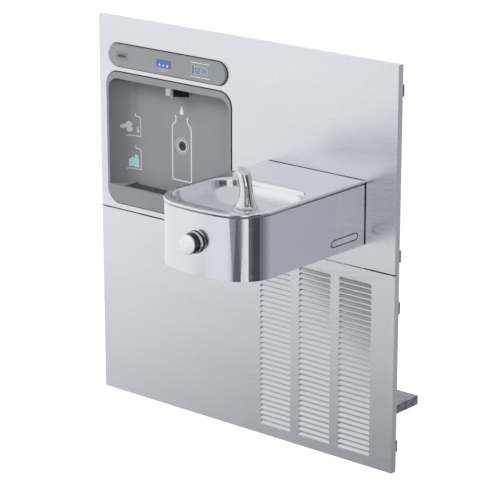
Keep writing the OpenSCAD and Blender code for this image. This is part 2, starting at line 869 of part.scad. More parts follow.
// Bowl as one skin of even thickness, from the deck down to the drain seat
module bowl_skin() {
    inner = [for (i = [0 : bowl_steps]) each bowl_ring(bowl_s(i), 0, fountain_top - bowl_drop(i))];
    outer = [for (i = [0 : bowl_steps]) each bowl_ring(bowl_s(i), deck_t,
        fountain_top - bowl_drop(i) - (i == 0 ? 0 : deck_t))];
    half = (bowl_steps + 1) * bowl_n;
    walls = [for (i = [0 : bowl_steps - 1], k = [0 : bowl_n - 1]) let (m = (k + 1) % bowl_n)
        each [[i * bowl_n + m, i * bowl_n + k, (i + 1) * bowl_n + m],
              [(i + 1) * bowl_n + m, i * bowl_n + k, (i + 1) * bowl_n + k],
              [half + i * bowl_n + k, half + i * bowl_n + m, half + (i + 1) * bowl_n + k],
              [half + (i + 1) * bowl_n + k, half + i * bowl_n + m, half + (i + 1) * bowl_n + m]]];
    ends = [for (k = [0 : bowl_n - 1]) let (m = (k + 1) % bowl_n, e = bowl_steps * bowl_n)
        each [[k, m, half + k], [half + k, m, half + m],
              [e + m, e + k, half + e + m], [half + e + m, e + k, half + e + k]]];
    polyhedron(concat(inner, outer), concat(walls, ends));
}

// Deck with its turned-down edge, the bowl, the bubbler pad and the drain seat
module basin() {
    color("#cdd0d5") difference() {
        union() {
            difference() {
                translate([0, 0, fountain_top - deck_t]) linear_extrude(deck_t)
                    polygon(fountain_plan(deck_over, front_y));
                translate([0, 0, fountain_top - deck_t - over]) linear_extrude(deck_t + 2 * over)
                    polygon(bowl_rim(deck_t / 2));
            }
            translate([0, 0, fountain_top - deck_edge]) linear_extrude(deck_edge) difference() {
                polygon(fountain_plan(deck_over, front_y));
                polygon(fountain_plan(0, front_y + over));
            }
            bowl_skin();
            translate([fountain_x, drain_y, bowl_low - deck_t]) cylinder(r = drain_r + 2 * deck_t, h = deck_t);
            translate([bubbler_x, bubbler_y, fountain_top - pad_low]) cylinder(r = pad_r, h = pad_low - pad_drop);
        }
        translate([fountain_x, drain_y, bowl_low - 2 * deck_t]) cylinder(r = drain_bore_r, h = 4 * deck_t);
        translate([bubbler_x, bubbler_y, fountain_top - pad_low - shank_l]) cylinder(r = shank_r + fit, h = pad_low + shank_l + over);
    }
}

module apron() {
    color("#bfc3c9") difference() {
        union() {
            translate([0, 0, fountain_low]) linear_extrude(fountain_h - deck_t) difference() {
                polygon(fountain_plan(0, front_y));
                polygon(fountain_plan(-apron_t, front_y + over));
            }
            translate([0, 0, fountain_low]) linear_extrude(apron_t) difference() {
                polygon(fountain_plan(0, front_y));
                polygon(fountain_plan(-apron_lip, front_y + over));
            }
        }
        translate([fountain_x, 0, button_z]) bar_y(sleeve_r + fit, fountain_front - over, fountain_front + fountain_r);
        for (p = cover_points) translate([p[0], p[1], fountain_low - over]) cylinder(r = cover_screw_r + fit, h = 3 * apron_t);
    }
}

// Screw places of the lower cover, in the middle of the lip
cover_points = [for (s = [-1, 1], share = cover_screw_shares)
    [fountain_x + s * (fountain_half - apron_lip / 2 - apron_t), front_y - fountain_reach * share]];

module bottom_cover() {
    color("#aeb2b8") translate([0, 0, fountain_low + apron_t]) linear_extrude(apron_t) difference() {
        polygon(fountain_plan(-apron_t - cover_gap, front_y - cover_gap));
        for (p = cover_points) translate([p[0], p[1]]) circle(cover_screw_r);
    }
}

module cover_screws() {
    color("#a7aab0") for (p = cover_points) translate([p[0], p[1], fountain_low]) {
        cylinder(r = cover_screw_r, h = cover_screw_l);
        translate([0, 0, -apron_t]) cylinder(r = cover_screw_head_r, h = apron_t);
    }
}

module side_badge() {
    color("#b8bbc0") translate([0, badge_y, badge_z])
        along_x(fountain_x + fountain_half, fountain_x + fountain_half + badge_t) pill(badge_l, badge_h);
}

// Section of the bubbler hood at height share t
bubbler_rings = 10;
bubbler_sides = 24;
function bubbler_radius(t) = bubbler_neck_r + (bubbler_tip_r - bubbler_neck_r) * t
    + (bubbler_base_r - fit - bubbler_neck_r) * pow(1 - t, 4) - bubbler_neck_r * bubbler_waist_share * sin(180 * t) * (1 - t);
function bubbler_ring(i) = let (t = i / bubbler_rings, a = 90 * max(0, (t - bubbler_dome_share) / (1 - bubbler_dome_share)),
    r = bubbler_radius(t) * sqrt(max(bubbler_end_share, cos(a))), lean = pow(t, 3), z = bubbler_h * t)
    [for (k = [0 : bubbler_sides - 1]) let (q = 360 * k / bubbler_sides)
        [r * cos(q) - bubbler_lean_x * lean, r * sin(q) + bubbler_lean_y * lean, z]];

// Hooded bubbler that leans over the bowl
module bubbler() {
    points = [for (i = [0 : bubbler_rings]) each bubbler_ring(i)];
    sides = [for (i = [0 : bubbler_rings - 1], k = [0 : bubbler_sides - 1]) let (m = (k + 1) % bubbler_sides)
        each [[i * bubbler_sides + k, (i + 1) * bubbler_sides + m, i * bubbler_sides + m],
              [i * bubbler_sides + k, (i + 1) * bubbler_sides + k, (i + 1) * bubbler_sides + m]]];
    caps = [[for (k = [0 : bubbler_sides - 1]) k],
            [for (k = [bubbler_sides - 1 : -1 : 0]) bubbler_rings * bubbler_sides + k]];
    color("#d6d9dd") translate([bubbler_x, bubbler_y, fountain_top - pad_drop]) difference() {
        union() {
            cylinder(r = bubbler_base_r, h = bubbler_base_h);
            translate([0, 0, bubbler_base_h / 2]) polyhedron(points, concat(sides, caps));
            translate([0, 0, -shank_l]) cylinder(r = shank_r, h = shank_l + over);
        }
        translate([0, 0, -shank_l - over]) cylinder(r = shank_bore_r, h = shank_l + bubbler_h / 2);
        rotate([0, 0, -45]) translate([0, -slit_w / 2, slit_low])
            cube([bubbler_base_r, slit_w, slit_h]);
    }
}

module bubbler_nut() {
    color("#c8a24a") translate([bubbler_x, bubbler_y, fountain_top - pad_low - shank_nut_h]) difference() {
        cylinder(r = shank_nut_r, h = shank_nut_h, $fn = 6);
        translate([0, 0, -over]) cylinder(r = shank_r + run_fit, h = shank_nut_h + 2 * over);
    }
}

// Domed strainer over the drain
module drain_strainer() {
    color("#c9ccd1") translate([fountain_x, drain_y, bowl_low]) difference() {
        cylinder(r = strainer_r, h = strainer_t);
        for (k = [0 : 7]) rotate(45 * k) translate([strainer_r * strainer_ring_share, 0, -over])
            cylinder(r = strainer_hole_r, h = strainer_t + 2 * over);
        translate([0, 0, -over]) cylinder(r = strainer_hole_r, h = strainer_t + 2 * over);
    }
}

module drain_tailpiece() {
    nut_top = bowl_low - deck_t;
    color("#b9bcc2") translate([fountain_x, drain_y, 0]) difference() {
        union() {
            translate([0, 0, nut_top - tail_nut_h]) cylinder(r = tail_nut_r, h = tail_nut_h, $fn = 6);
            translate([0, 0, nut_top - tail_drop]) cylinder(r = tail_r, h = tail_drop);
        }
        translate([0, 0, nut_top - tail_drop - over]) cylinder(r = tail_bore_r, h = tail_drop + 2 * over);
    }
}

// Drain pipe: from the tailpiece back through the panel, then down to its slip nut
module drain_line() {
    top = bowl_low - deck_t - tail_drop;
    low = top - drain_turn_r - deck_t;
    color("#d9dadb") difference() {
        union() {
            route([[fountain_x, drain_y, top], [fountain_x, drain_y, low],
                   [fountain_x, drain_out_y, low], [fountain_x, drain_out_y, drain_out_z],
                   [fountain_x, drain_end_y, drain_out_z]], tail_r, drain_turn_r);
            translate([fountain_x, 0, drain_out_z]) bar_y(slip_nut_r, slip_nut_y, slip_nut_y + slip_nut_l);
            translate([0, drain_out_y, hose_z]) bar_x(drain_tee_r, fountain_x - drain_tee_l, fountain_x);
        }
        route([[fountain_x, drain_y, top + over], [fountain_x, drain_y, low],
               [fountain_x, drain_out_y, low], [fountain_x, drain_out_y, drain_out_z],
               [fountain_x, drain_end_y + over, drain_out_z]], tail_bore_r, drain_turn_r);
    }
}

// Chrome cap with its stem, hollow behind for the spring
module push_button_cap() {
    color("#dfe2e6") translate([fountain_x, 0, button_z]) {
        difference() {
            union() {
                bar_y(button_d / 2, cap_front_y + cap_wall, cap_rear_y);
                bar_y(button_d / 2 - cap_wall / 2, cap_front_y, cap_front_y + cap_wall);
            }
            bar_y(cap_cup_r, cap_front_y + cap_wall, cap_rear_y + over);
        }
        bar_y(stem_r, cap_front_y + cap_wall / 2, stem_end_y);
    }
}

module push_button_collar() {
    color("#c4c8cd") translate([fountain_x, 0, button_z]) difference() {
        union() {
            bar_y(collar_r, collar_y1, fountain_front);
            bar_y(sleeve_r, fountain_front - over, fountain_front + sleeve_l);
        }
        bar_y(button_d / 2 + run_fit, collar_y1 - over, fountain_front - collar_floor);
        bar_y(stem_r + run_fit, fountain_front - collar_l, fountain_front + sleeve_l + over);
    }
}

module push_button_nut() {
    color("#c8a24a") translate([fountain_x, 0, button_z]) difference() {
        translate([0, button_nut_y0 + button_nut_h, 0]) rotate([90, 0, 0]) cylinder(r = button_nut_r, h = button_nut_h, $fn = 6);
        bar_y(sleeve_r, fountain_front, fountain_front + fountain_r);
    }
}

// Return spring inside the cap, one wire wound about the stem
spring_ring_steps = 20;
spring_sides = 6;
module push_button_spring() {
    n = spring_turns * spring_ring_steps;
    points = [for (i = [0 : n]) let (a = 360 * i / spring_ring_steps, y = spring_y0 + (spring_y1 - spring_y0) * i / n)
        each [for (k = [0 : spring_sides - 1]) let (q = 360 * k / spring_sides, r = spring_r + spring_wire_r * cos(q))
            [fountain_x + r * cos(a), y + spring_wire_r * sin(q), button_z + r * sin(a)]]];
    sides = [for (i = [0 : n - 1], k = [0 : spring_sides - 1]) let (m = (k + 1) % spring_sides)
        each [[i * spring_sides + k, i * spring_sides + m, (i + 1) * spring_sides + m],
              [i * spring_sides + k, (i + 1) * spring_sides + m, (i + 1) * spring_sides + k]]];
    caps = [[for (k = [spring_sides - 1 : -1 : 0]) k], [for (k = [0 : spring_sides - 1]) n * spring_sides + k]];
    color("#8c8f94") polyhedron(points, concat(sides, caps));
}

// Dispensing valve screwed to the collar; the stem works inside its bore
module push_button_valve() {
    color("#c8a24a") translate([fountain_x, 0, button_z]) difference() {
        union() {
            bar_y(valve_r, valve_y0, valve_y0 + valve_l);
            for (y = [valve_y0 + valve_l * valve_in_share, valve_y0 + valve_l * valve_out_share])
                translate([0, y, 0]) bar_x(valve_port_r, 0, valve_r + valve_port_l);
        }
        bar_y(stem_r + run_fit, valve_y0 - over, stem_end_y + button_travel + stem_gap);
    }
}

bracket_bolt_x = [for (s = [-1, 1]) fountain_x + s * bracket_w * bracket_bolt_share];

// Bracket that carries the fountain: a plate on the rails and two arms with feet on the apron
module fountain_bracket() {
    window = bracket_w * bracket_window_share;
    color("#9b9ea3") {
        difference() {
            span([fountain_x - bracket_w / 2, frame_y - bracket_t, bracket_low],
                 [fountain_x + bracket_w / 2, frame_y, bracket_high]);
            span([fountain_x - window / 2, frame_y - 2 * bracket_t, arm_low],
                 [fountain_x + window / 2, frame_y + over, arm_low + arm_h / 2]);
            for (x = bracket_bolt_x, z = fountain_rail_z)
                translate([x, 0, z]) bar_y(bolt_r, frame_y - 2 * bracket_t, frame_y + over);
        }
        for (s = [-1, 1]) {
            face = fountain_x + s * bracket_w / 2;
            apron_face = fountain_x + s * (fountain_half - apron_t);
            span([min(face, face - s * arm_t), front_y - arm_l, arm_low],
                 [max(face, face - s * arm_t), frame_y, arm_low + arm_h]);
            span([min(face - s * arm_t, apron_face), front_y - arm_l, arm_low],
                 [max(face - s * arm_t, apron_face), front_y - cover_gap, arm_low + arm_t]);
        }
    }
}

module post_left() {
    color("#8d9196") stud_post(-post_x);
}

module post_right() {
    color("#8d9196") stud_post(post_x);
}

// Post with the holes for the wall studs through its outer web
module stud_post(x) {
    difference() {
        upright(x, post_low, post_top);
        for (share = stud_hole_shares, z = [stud_hole_low, stud_hole_low + stud_hole_rise])
            translate([x, frame_y + channel * share, z]) bar_x(stud_hole_r, x > 0 ? 0 : -channel, x > 0 ? channel : 0);
    }
}

rail_x = post_x - channel / 2;

// Three level rails between the posts
module frame_rails() {
    color("#8d9196") for (z = [post_low + channel / 2, seam_z - channel / 2, post_top - channel / 2])
        rail(z, -rail_x, rail_x);
}

// Two short rails behind the fountain, from the right post to a stub upright
module fountain_rails() {
    stub_x = fountain_x - fountain_half - channel / 2;
    color("#8d9196") {
        for (z = fountain_rail_z) difference() {
            rail(z, stub_x + channel / 2, rail_x);
            for (x = bracket_bolt_x)
                translate([x, 0, z]) bar_y(bolt_r, frame_y - over, frame_y + channel_t + over);
        }
        upright(stub_x, seam_z, post_top - channel);
    }
}

// Hanger from the post to the rear of the panel face, outside the louvres
hanger_w = 34;
hanger_t = 2.5;
hanger_drop = 28;
hanger_inset = 31;
hanger_below = 90;
module hanger(side, z) {
    x1 = side_x - hanger_inset;
    x0 = x1 - hanger_w;
    mirror([side < 0 ? 1 : 0, 0, 0]) {
        span([x0, back_face_y, z], [x1, back_face_y + hanger_t, z + channel]);
        span([x0, back_face_y, z], [x1, frame_y, z + hanger_t]);
        span([post_x, frame_y - hanger_t, z - hanger_drop], [x1, frame_y, z + hanger_t]);
    }
}

module panel_hangers() {
    color("#9b9ea3") {
        for (side = [-1, 1]) {
            hanger(side, post_top + rim_lap * 2);
            hanger(side, post_low + hanger_drop);
            hanger(side, seam_z - hanger_below);
        }
        hanger(1, seam_z + channel);
    }
}

module bracket_bolts() {
    color("#b5b8bd") for (x = bracket_bolt_x, z = fountain_rail_z)
        bolt_y(x, frame_y - bracket_t, z, bracket_t + 3 * channel_t);
}

// Z-shaped clips from the middle rail to the rear of the alcove housing
clip_x_share = 0.3;
module alcove_clips() {
    y0 = alcove_back_y + alcove_t;
    color("#9b9ea3") for (s = [-1, 1]) {
        x0 = alcove_x + s * alcove_w * clip_x_share - hanger_w / 2;
        x1 = x0 + hanger_w;
        span([x0, y0, seam_z], [x1, y0 + hanger_t, alcove_z + rim_low]);
        span([x0, y0, seam_z], [x1, frame_y, seam_z + hanger_t]);
        span([x0, frame_y - hanger_t, seam_z - channel], [x1, frame_y, seam_z + hanger_t]);
    }
}

// Shelf with turned-down edges on the bottom rail and the left post
module chiller_shelf() {
    color("#9b9ea3") {
        span([shelf_x0 + channel / 2, shelf_y0, shelf_z], [shelf_x1, shelf_y1, shelf_top]);
        span([shelf_x0 + channel / 2, shelf_y1 - shelf_t, shelf_z - shelf_skirt], [shelf_x1, shelf_y1, shelf_z]);
        for (x = [shelf_x0 + channel / 2, shelf_x1 - shelf_t])
            span([x, frame_back_y, shelf_z - shelf_skirt], [x + shelf_t, shelf_y1, shelf_z]);
    }
}

// Finned condenser with its tube rows
module condenser() {
    x0 = condenser_x - condenser_w / 2;
    x1 = condenser_x + condenser_w / 2;
    row_z = [for (i = [0 : coil_rows - 1]) condenser_low + condenser_h * (i + 0.5) / coil_rows];
    color("#a8acb1") {
        for (x = [x0, x1 - end_plate_t]) span([x, condenser_y0, condenser_low], [x + end_plate_t, condenser_y1, condenser_low + condenser_h]);
        for (i = [1 : fin_count - 1]) {
            x = x0 + condenser_w * i / fin_count - fin_t / 2;
            span([x, condenser_y0 + end_plate_t, condenser_low + end_plate_t], [x + fin_t, condenser_y1 - end_plate_t, condenser_low + condenser_h - end_plate_t]);
        }
        for (z = row_z) translate([0, (condenser_y0 + condenser_y1) / 2, z]) bar_x(coil_tube_r, x0 - coil_tube_r, x1 + coil_tube_r);
    }
}

// Sheet shroud behind the condenser with the fan opening
module fan_shroud() {
    x0 = condenser_x - condenser_w / 2;
    x1 = condenser_x + condenser_w / 2;
    z1 = condenser_low + condenser_h;
    color("#84878c") difference() {
        span([x0, condenser_y1, condenser_low], [x1, shroud_y1, z1]);
        span([x0 + shroud_t, condenser_y1 - over, condenser_low + shroud_t], [x1 - shroud_t, shroud_y1 - shroud_t, z1 - shroud_t]);
        translate([condenser_x, 0, condenser_z]) bar_y(fan_r + fan_gap, condenser_y1, shroud_y1 + over);
    }
}

// Fan: hub and pitched blades
module fan() {
    color("#3a3c40") translate([condenser_x, fan_y, condenser_z]) rotate([90, 0, 0]) difference() {
        union() {
            translate([0, 0, -fan_hub_l / 2]) cylinder(r = fan_hub_r, h = fan_hub_l);
            for (k = [0 : fan_blades - 1]) rotate([0, 0, 360 * k / fan_blades]) intersection() {
                rotate([fan_pitch, 0, 0]) translate([fan_hub_r - blade_t, -blade_w / 2, -blade_t / 2])
                    cube([fan_r - fan_hub_r, blade_w, blade_t]);
                translate([0, 0, -fan_hub_l]) cylinder(r = fan_r, h = 2 * fan_hub_l);
            }
        }
        translate([0, 0, -fan_hub_l]) cylinder(r = fan_shaft_hole_r, h = fan_hub_l + fan_shaft_in);
    }
}

// Motor on three arms, its shaft in the hub of the fan
module fan_motor() {
    color("#5a5d62") {
        translate([condenser_x, 0, condenser_z]) {
            bar_y(motor_r, motor_y0, motor_y0 + motor_l);
            bar_y(motor_boss_r, motor_y0 + motor_l - over, motor_y0 + motor_l + motor_boss_l);
            bar_y(fan_shaft_r, fan_y, motor_y0 + over);
            for (a = [90, 210, 330]) rotate([0, -a, 0]) {
                span([motor_r - motor_arm_t, motor_y0, -motor_arm_w / 2], [fan_r + fan_gap + motor_arm_w, motor_y0 + motor_arm_t, motor_arm_w / 2]);
                span([fan_r + fan_gap + motor_arm_w - motor_arm_t, shroud_y1, -motor_arm_w / 2], [fan_r + fan_gap + motor_arm_w, motor_y0 + motor_arm_t, motor_arm_w / 2]);
            }
        }
    }
}

// Hermetic compressor: domed shell on a foot plate
module compressor() {
    half = compressor_plate / 2;
    shell_low = shelf_top + grommet_h;
    dome = compressor_r * compressor_dome_share;
    color("#232427") translate([compressor_x, compressor_y, 0]) {
        difference() {
            translate([0, 0, shell_low]) linear_extrude(compressor_plate_t) rounded(compressor_plate, compressor_plate, compressor_foot);
            for (sx = [-1, 1], sy = [-1, 1]) translate([sx * (half - compressor_foot), sy * (half - compressor_foot), shell_low - over])
                cylinder(r = grommet_neck_r, h = compressor_plate_t + 2 * over);
        }
        translate([0, 0, shell_low + compressor_plate_t]) rotate_extrude($fn = 64) intersection() {
            union() {
                translate([0, dome]) square([compressor_r, compressor_body_h - dome]);
                translate([0, dome]) scale([1, dome / compressor_r]) circle(compressor_r);
                translate([0, compressor_body_h]) scale([1, dome / compressor_r]) circle(compressor_r);
            }
            square([compressor_r, compressor_body_h + dome]);
        }
        translate([0, 0, shell_low + compressor_plate_t]) cylinder(r = compressor_base_r, h = dome);
    }
}

module compressor_feet() {
    half = compressor_plate / 2;
    color("#1a1a1b") for (sx = [-1, 1], sy = [-1, 1])
        translate([compressor_x + sx * (half - compressor_foot), compressor_y + sy * (half - compressor_foot), shelf_top]) {
            cylinder(r = grommet_r, h = grommet_h);
            cylinder(r = grommet_neck_r - fit / 2, h = grommet_h + 2 * compressor_plate_t);
        }
}

// Insulated tank that cools the water
module cooling_tank() {
    round_r = 18;
    color("#d9d7cf") translate([tank_x, tank_y, shelf_top]) {
        rotate_extrude($fn = 64) {
            square([tank_r - round_r, tank_h]);
            translate([0, round_r]) square([tank_r, tank_h - 2 * round_r]);
            for (z = [round_r, tank_h - round_r]) translate([tank_r - round_r, z]) circle(round_r);
        }
        translate([0, 0, tank_h - over]) cylinder(r = tank_cap_r, h = tank_port_l + over);
        for (x = [-tank_port, tank_port]) translate([x, 0, tank_h - over]) cylinder(r = tube_r + alcove_t, h = tank_port_l + over);
    }
}

module filter_drier() {
    color("#b87a4a") translate([drier_x, drier_y, drier_z]) {
        body = drier_l * (1 - 2 * drier_cone_share);
        cone = drier_l * drier_cone_share;
        cylinder(r = drier_r, h = body);
        translate([0, 0, body]) cylinder(r1 = drier_r, r2 = coil_tube_r, h = cone);
        translate([0, 0, -cone]) cylinder(r1 = coil_tube_r, r2 = drier_r, h = cone);
    }
}

module thermostat_box() {
    color("#5a5d62") translate([thermo_x, thermo_y, shelf_top]) difference() {
        span([-thermo_w / 2, 0, 0], [thermo_w / 2, thermo_d, thermo_h]);
        translate([0, thermo_d / 2, thermo_h - dial_shaft_l - over]) cylinder(r = dial_shaft_r + run_fit, h = dial_shaft_l + 2 * over);
    }
}

module thermostat_dial() {
    color("#d0d2d5") translate([thermo_x, thermo_y + thermo_d / 2, shelf_top + thermo_h]) difference() {
        union() {
            translate([0, 0, seat]) cylinder(r = dial_r, h = dial_h);
            translate([0, 0, -dial_shaft_l]) cylinder(r = dial_shaft_r, h = dial_shaft_l + over);
        }
        translate([0, 0, dial_h]) span([-fit, -dial_r - over, -fit], [fit, dial_r / 2, over]);
    }
}

// Box for the supply wires, its gland at the rear
module junction_box() {
    color("#9b9ea3") translate([junction_x, junction_y, shelf_top]) difference() {
        union() {
            span([-junction_w / 2, 0, 0], [junction_w / 2, junction_d, junction_h]);
            translate([0, 0, junction_h / 2]) bar_y(gland_r, junction_d - over, junction_d + gland_l);
        }
        translate([0, 0, junction_h / 2]) bar_y(gland_bore_r, junction_d - box_wall - over, junction_d + gland_l + over);
        span([-junction_w / 2 + box_wall, box_wall, box_wall], [junction_w / 2 - box_wall, junction_d - box_wall, junction_h - box_wall]);
    }
}

module filter_head() {
    color("#e3e4e6") {
        translate([filter_x, filter_y, 0]) difference() {
            union() {
                translate([0, 0, head_z]) cylinder(r = head_r, h = head_h);
                translate([0, 0, head_z + head_h - over]) cylinder(r = head_cap_r, h = head_cap_h + over);
                translate([0, 0, port_z]) bar_x(tube_r + alcove_t, -head_r - port_l, head_r + port_l);
            }
            translate([0, 0, head_z - over]) cylinder(r = cartridge_neck_r + run_fit, h = cartridge_neck_h + over + seat);
        }
        span([filter_x - head_arm_w / 2, frame_back_y, head_z + head_arm_rise],
             [filter_x + head_arm_w / 2, filter_y - cartridge_neck_r - alcove_t, head_z + head_arm_rise + head_arm_h]);
    }
}

module filter_cartridge() {
    color("#f0f1f2") translate([filter_x, filter_y, 0]) {
        translate([0, 0, head_z - seat - cartridge_h]) cylinder(r = cartridge_r, h = cartridge_h);
        translate([0, 0, head_z - seat - over]) cylinder(r = cartridge_neck_r, h = cartridge_neck_h + over);
    }
}

module filler_solenoid() {
    color("#2d3f6b") translate([solenoid_x, solenoid_y, solenoid_z]) {
        span([-solenoid_w / 2, -solenoid_d / 2, 0], [solenoid_w / 2, solenoid_d / 2, solenoid_h]);
        translate([0, 0, solenoid_h]) cylinder(r = solenoid_coil_r, h = solenoid_coil_h);
        span([-solenoid_w / 4, frame_back_y - solenoid_y, 0], [solenoid_w / 4, 0, solenoid_h / 2]);
    }
}

// Water tube from the supply to the filter head
module inlet_tube() {
    color("#b87a4a") route([[inlet_x, inlet_y1, port_z], [inlet_x, filter_y, port_z],
        [filter_x - head_r - port_l, filter_y, port_z]], tube_r, tube_bend_r);
}

// Filtered water to the cooling tank
module filtered_tube() {
    x = tank_x - tank_port;
    color("#b87a4a") route([[filter_x + head_r + port_l, filter_y, port_z], [x, filter_y, port_z],
        [x, tank_y, port_z], [x, tank_y, shelf_top + tank_h + tank_port_l]], tube_r, tube_bend_r);
}

// Chilled water up to the tee, and from the tee to the push button valve
module chilled_tubes() {
    x = tank_x + tank_port;
    valve_y = valve_y0 + valve_l * valve_in_share;
    color("#b87a4a") {
        route([[x, tank_y, shelf_top + tank_h + tank_port_l], [x, tank_y, tee_z - tee_l]], tube_r, tube_bend_r);
        translate([x, tank_y, tee_z - tee_l]) cylinder(r = tee_r, h = 2 * tee_l);
        translate([0, tank_y, tee_z]) bar_x(tee_r, x, x + tee_l);
        route([[x + tee_l, tank_y, tee_z], [fountain_tube_x, tank_y, tee_z], [fountain_tube_x, valve_y, tee_z],
            [fountain_tube_x, valve_y, button_z], [fountain_x + valve_r + valve_port_l, valve_y, button_z]], tube_r, tube_bend_r);
    }
}

// From the push button valve to the shank of the bubbler
module bubbler_tube() {
    y = valve_y0 + valve_l * valve_out_share;
    z = button_z - bubbler_tube_drop;
    color("#b87a4a") route([[fountain_x + valve_r + valve_port_l, y, button_z], [bubbler_tube_x, y, button_z],
        [bubbler_tube_x, y, z], [bubbler_tube_x, bubbler_y, z], [bubbler_x, bubbler_y, z],
        [bubbler_x, bubbler_y, fountain_top - pad_drop - shank_l]], tube_r, bubbler_bend_r);
}

// From the tee up to the solenoid valve, and from the valve to the nozzle
module filler_tubes() {
    low = cavity_top - nozzle_h - nozzle_fall * (nozzle_y - front_y) / alcove_depth - insert_show;
    z = solenoid_z + solenoid_h * solenoid_port_share;
    color("#b87a4a") {
        route([[solenoid_x, tank_y, tee_z + tee_l], [solenoid_x, tank_y, z],
            [solenoid_x, solenoid_y + solenoid_d / 2, z]], tube_r, tube_bend_r);
        route([[solenoid_x - solenoid_w / 2, solenoid_y, z], [alcove_x, solenoid_y, z],
            [alcove_x, solenoid_y, nozzle_tube_z], [alcove_x, nozzle_y, nozzle_tube_z],
            [alcove_x, nozzle_y, low + insert_l]], tube_r, tube_bend_r);
    }
}

// Hose from the spout of the drip tray to the tee of the drain pipe
module tray_hose() {
    color("#6a6c70") route([[alcove_x, spout_y, alcove_z + rim_lap + fit - 2 * spout_l], [alcove_x, spout_y, hose_z],
        [alcove_x, drain_out_y, hose_z], [fountain_x - drain_tee_l, drain_out_y, hose_z]], hose_r, hose_bend_r);
}

// Hot gas, liquid, capillary and suction tubes of the chiller
module refrigerant_tubes() {
    top_z = condenser_low + condenser_h * (coil_rows - 0.5) / coil_rows;
    low_z = condenser_low + condenser_h * 0.5 / coil_rows;
    coil_x = condenser_x - condenser_w / 2 - coil_tube_r;
    dome_z = shelf_top + grommet_h + compressor_plate_t + compressor_body_h + compressor_r * compressor_dome_share;
    cap_z = shelf_top + tank_h + tank_port_l;
    lift_z = drier_z + drier_l;
    color("#b87a4a") {
        route([[compressor_x, compressor_y, dome_z], [compressor_x, compressor_y, top_z],
            [compressor_x, drier_y, top_z], [coil_x, drier_y, top_z]], coil_tube_r, tube_bend_r);
        route([[coil_x, drier_y, low_z], [drier_x, drier_y, low_z],
            [drier_x, drier_y, drier_z - drier_l * drier_cone_share]], coil_tube_r, tube_bend_r);
        route([[drier_x, drier_y, drier_z + drier_l * (1 - drier_cone_share)], [drier_x, drier_y, lift_z + tube_bend_r],
            [tank_x, drier_y, lift_z + tube_bend_r], [tank_x, drier_y, cap_z + tank_cap_r],
            [tank_x, tank_y, cap_z + tank_cap_r], [tank_x, tank_y, cap_z]], capillary_r, capillary_bend_r);
        route([[tank_x + tank_r, tank_y, shelf_top + suction_rise], [compressor_x - compressor_r, tank_y, shelf_top + suction_rise]],
            suction_r, tube_bend_r);
    }
}

upper_panel();
lower_panel();
alcove_housing();
drip_grille();
tray_spout();
strip_bezel();
status_window();
display_window();
strip_sensor_lens();
control_box();
control_board();
bottle_sensor();
nozzle_shroud();
nozzle_body();
nozzle_insert();
basin();
apron();
bottom_cover();
cover_screws();
side_badge();
bubbler();
bubbler_nut();
drain_strainer();
drain_tailpiece();
drain_line();
push_button_cap();
push_button_collar();
push_button_nut();
push_button_spring();
push_button_valve();
fountain_bracket();
post_left();
post_right();
frame_rails();
fountain_rails();
panel_hangers();
bracket_bolts();
alcove_clips();
chiller_shelf();
condenser();
fan_shroud();
fan();
fan_motor();
compressor();
compressor_feet();
cooling_tank();
filter_drier();
thermostat_box();
thermostat_dial();
junction_box();
filter_head();
filter_cartridge();
filler_solenoid();
inlet_tube();
filtered_tube();
chilled_tubes();
bubbler_tube();
filler_tubes();
tray_hose();
refrigerant_tubes();
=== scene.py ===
import json
import math

import bmesh
import bpy
import numpy as np
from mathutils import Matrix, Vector

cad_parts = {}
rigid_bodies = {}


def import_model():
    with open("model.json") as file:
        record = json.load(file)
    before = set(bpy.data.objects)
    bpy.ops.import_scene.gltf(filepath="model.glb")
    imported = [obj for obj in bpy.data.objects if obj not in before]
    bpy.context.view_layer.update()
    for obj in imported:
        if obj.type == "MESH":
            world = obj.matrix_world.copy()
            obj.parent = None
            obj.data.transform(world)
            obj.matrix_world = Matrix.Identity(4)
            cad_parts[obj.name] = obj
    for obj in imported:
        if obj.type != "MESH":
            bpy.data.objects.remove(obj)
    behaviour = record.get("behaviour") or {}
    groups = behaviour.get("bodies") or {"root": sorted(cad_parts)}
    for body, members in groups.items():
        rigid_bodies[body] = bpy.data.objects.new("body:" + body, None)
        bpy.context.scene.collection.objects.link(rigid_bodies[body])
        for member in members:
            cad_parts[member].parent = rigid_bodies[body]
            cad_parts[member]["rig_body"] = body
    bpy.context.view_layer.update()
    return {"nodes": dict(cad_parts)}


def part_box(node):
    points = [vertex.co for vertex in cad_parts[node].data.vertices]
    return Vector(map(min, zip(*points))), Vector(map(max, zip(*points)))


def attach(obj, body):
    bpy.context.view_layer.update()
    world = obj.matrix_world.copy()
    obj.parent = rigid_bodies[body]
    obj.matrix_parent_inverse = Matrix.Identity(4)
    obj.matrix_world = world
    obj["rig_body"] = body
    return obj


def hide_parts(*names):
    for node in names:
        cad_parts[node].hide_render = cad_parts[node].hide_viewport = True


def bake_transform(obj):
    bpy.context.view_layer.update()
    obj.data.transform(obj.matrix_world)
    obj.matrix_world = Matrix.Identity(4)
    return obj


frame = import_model()
station = "station"
print("frame loaded")


def linearColour(code):
    # sRGB hex to the linear values that a shader takes
    parts = [int(code[i:i + 2], 16) / 255 for i in (1, 3, 5)]
    return [p / 12.92 if p <= 0.04045 else ((p + 0.055) / 1.055) ** 2.4 for p in parts] + [1.0]


def addNode(tree, kind, inputs=None, **settings):
    # adds a node, sets its options, then its inputs by value, by socket or by the first output of a node
    made = tree.nodes.new(kind)
    for name, value in settings.items():
        setattr(made, name, value)
    for name, value in (inputs or {}).items():
        if isinstance(value, bpy.types.Node):
            value = value.outputs[0]
        if isinstance(value, bpy.types.NodeSocket):
            tree.links.new(value, made.inputs[name])
        else:
            made.inputs[name].default_value = value
    return made


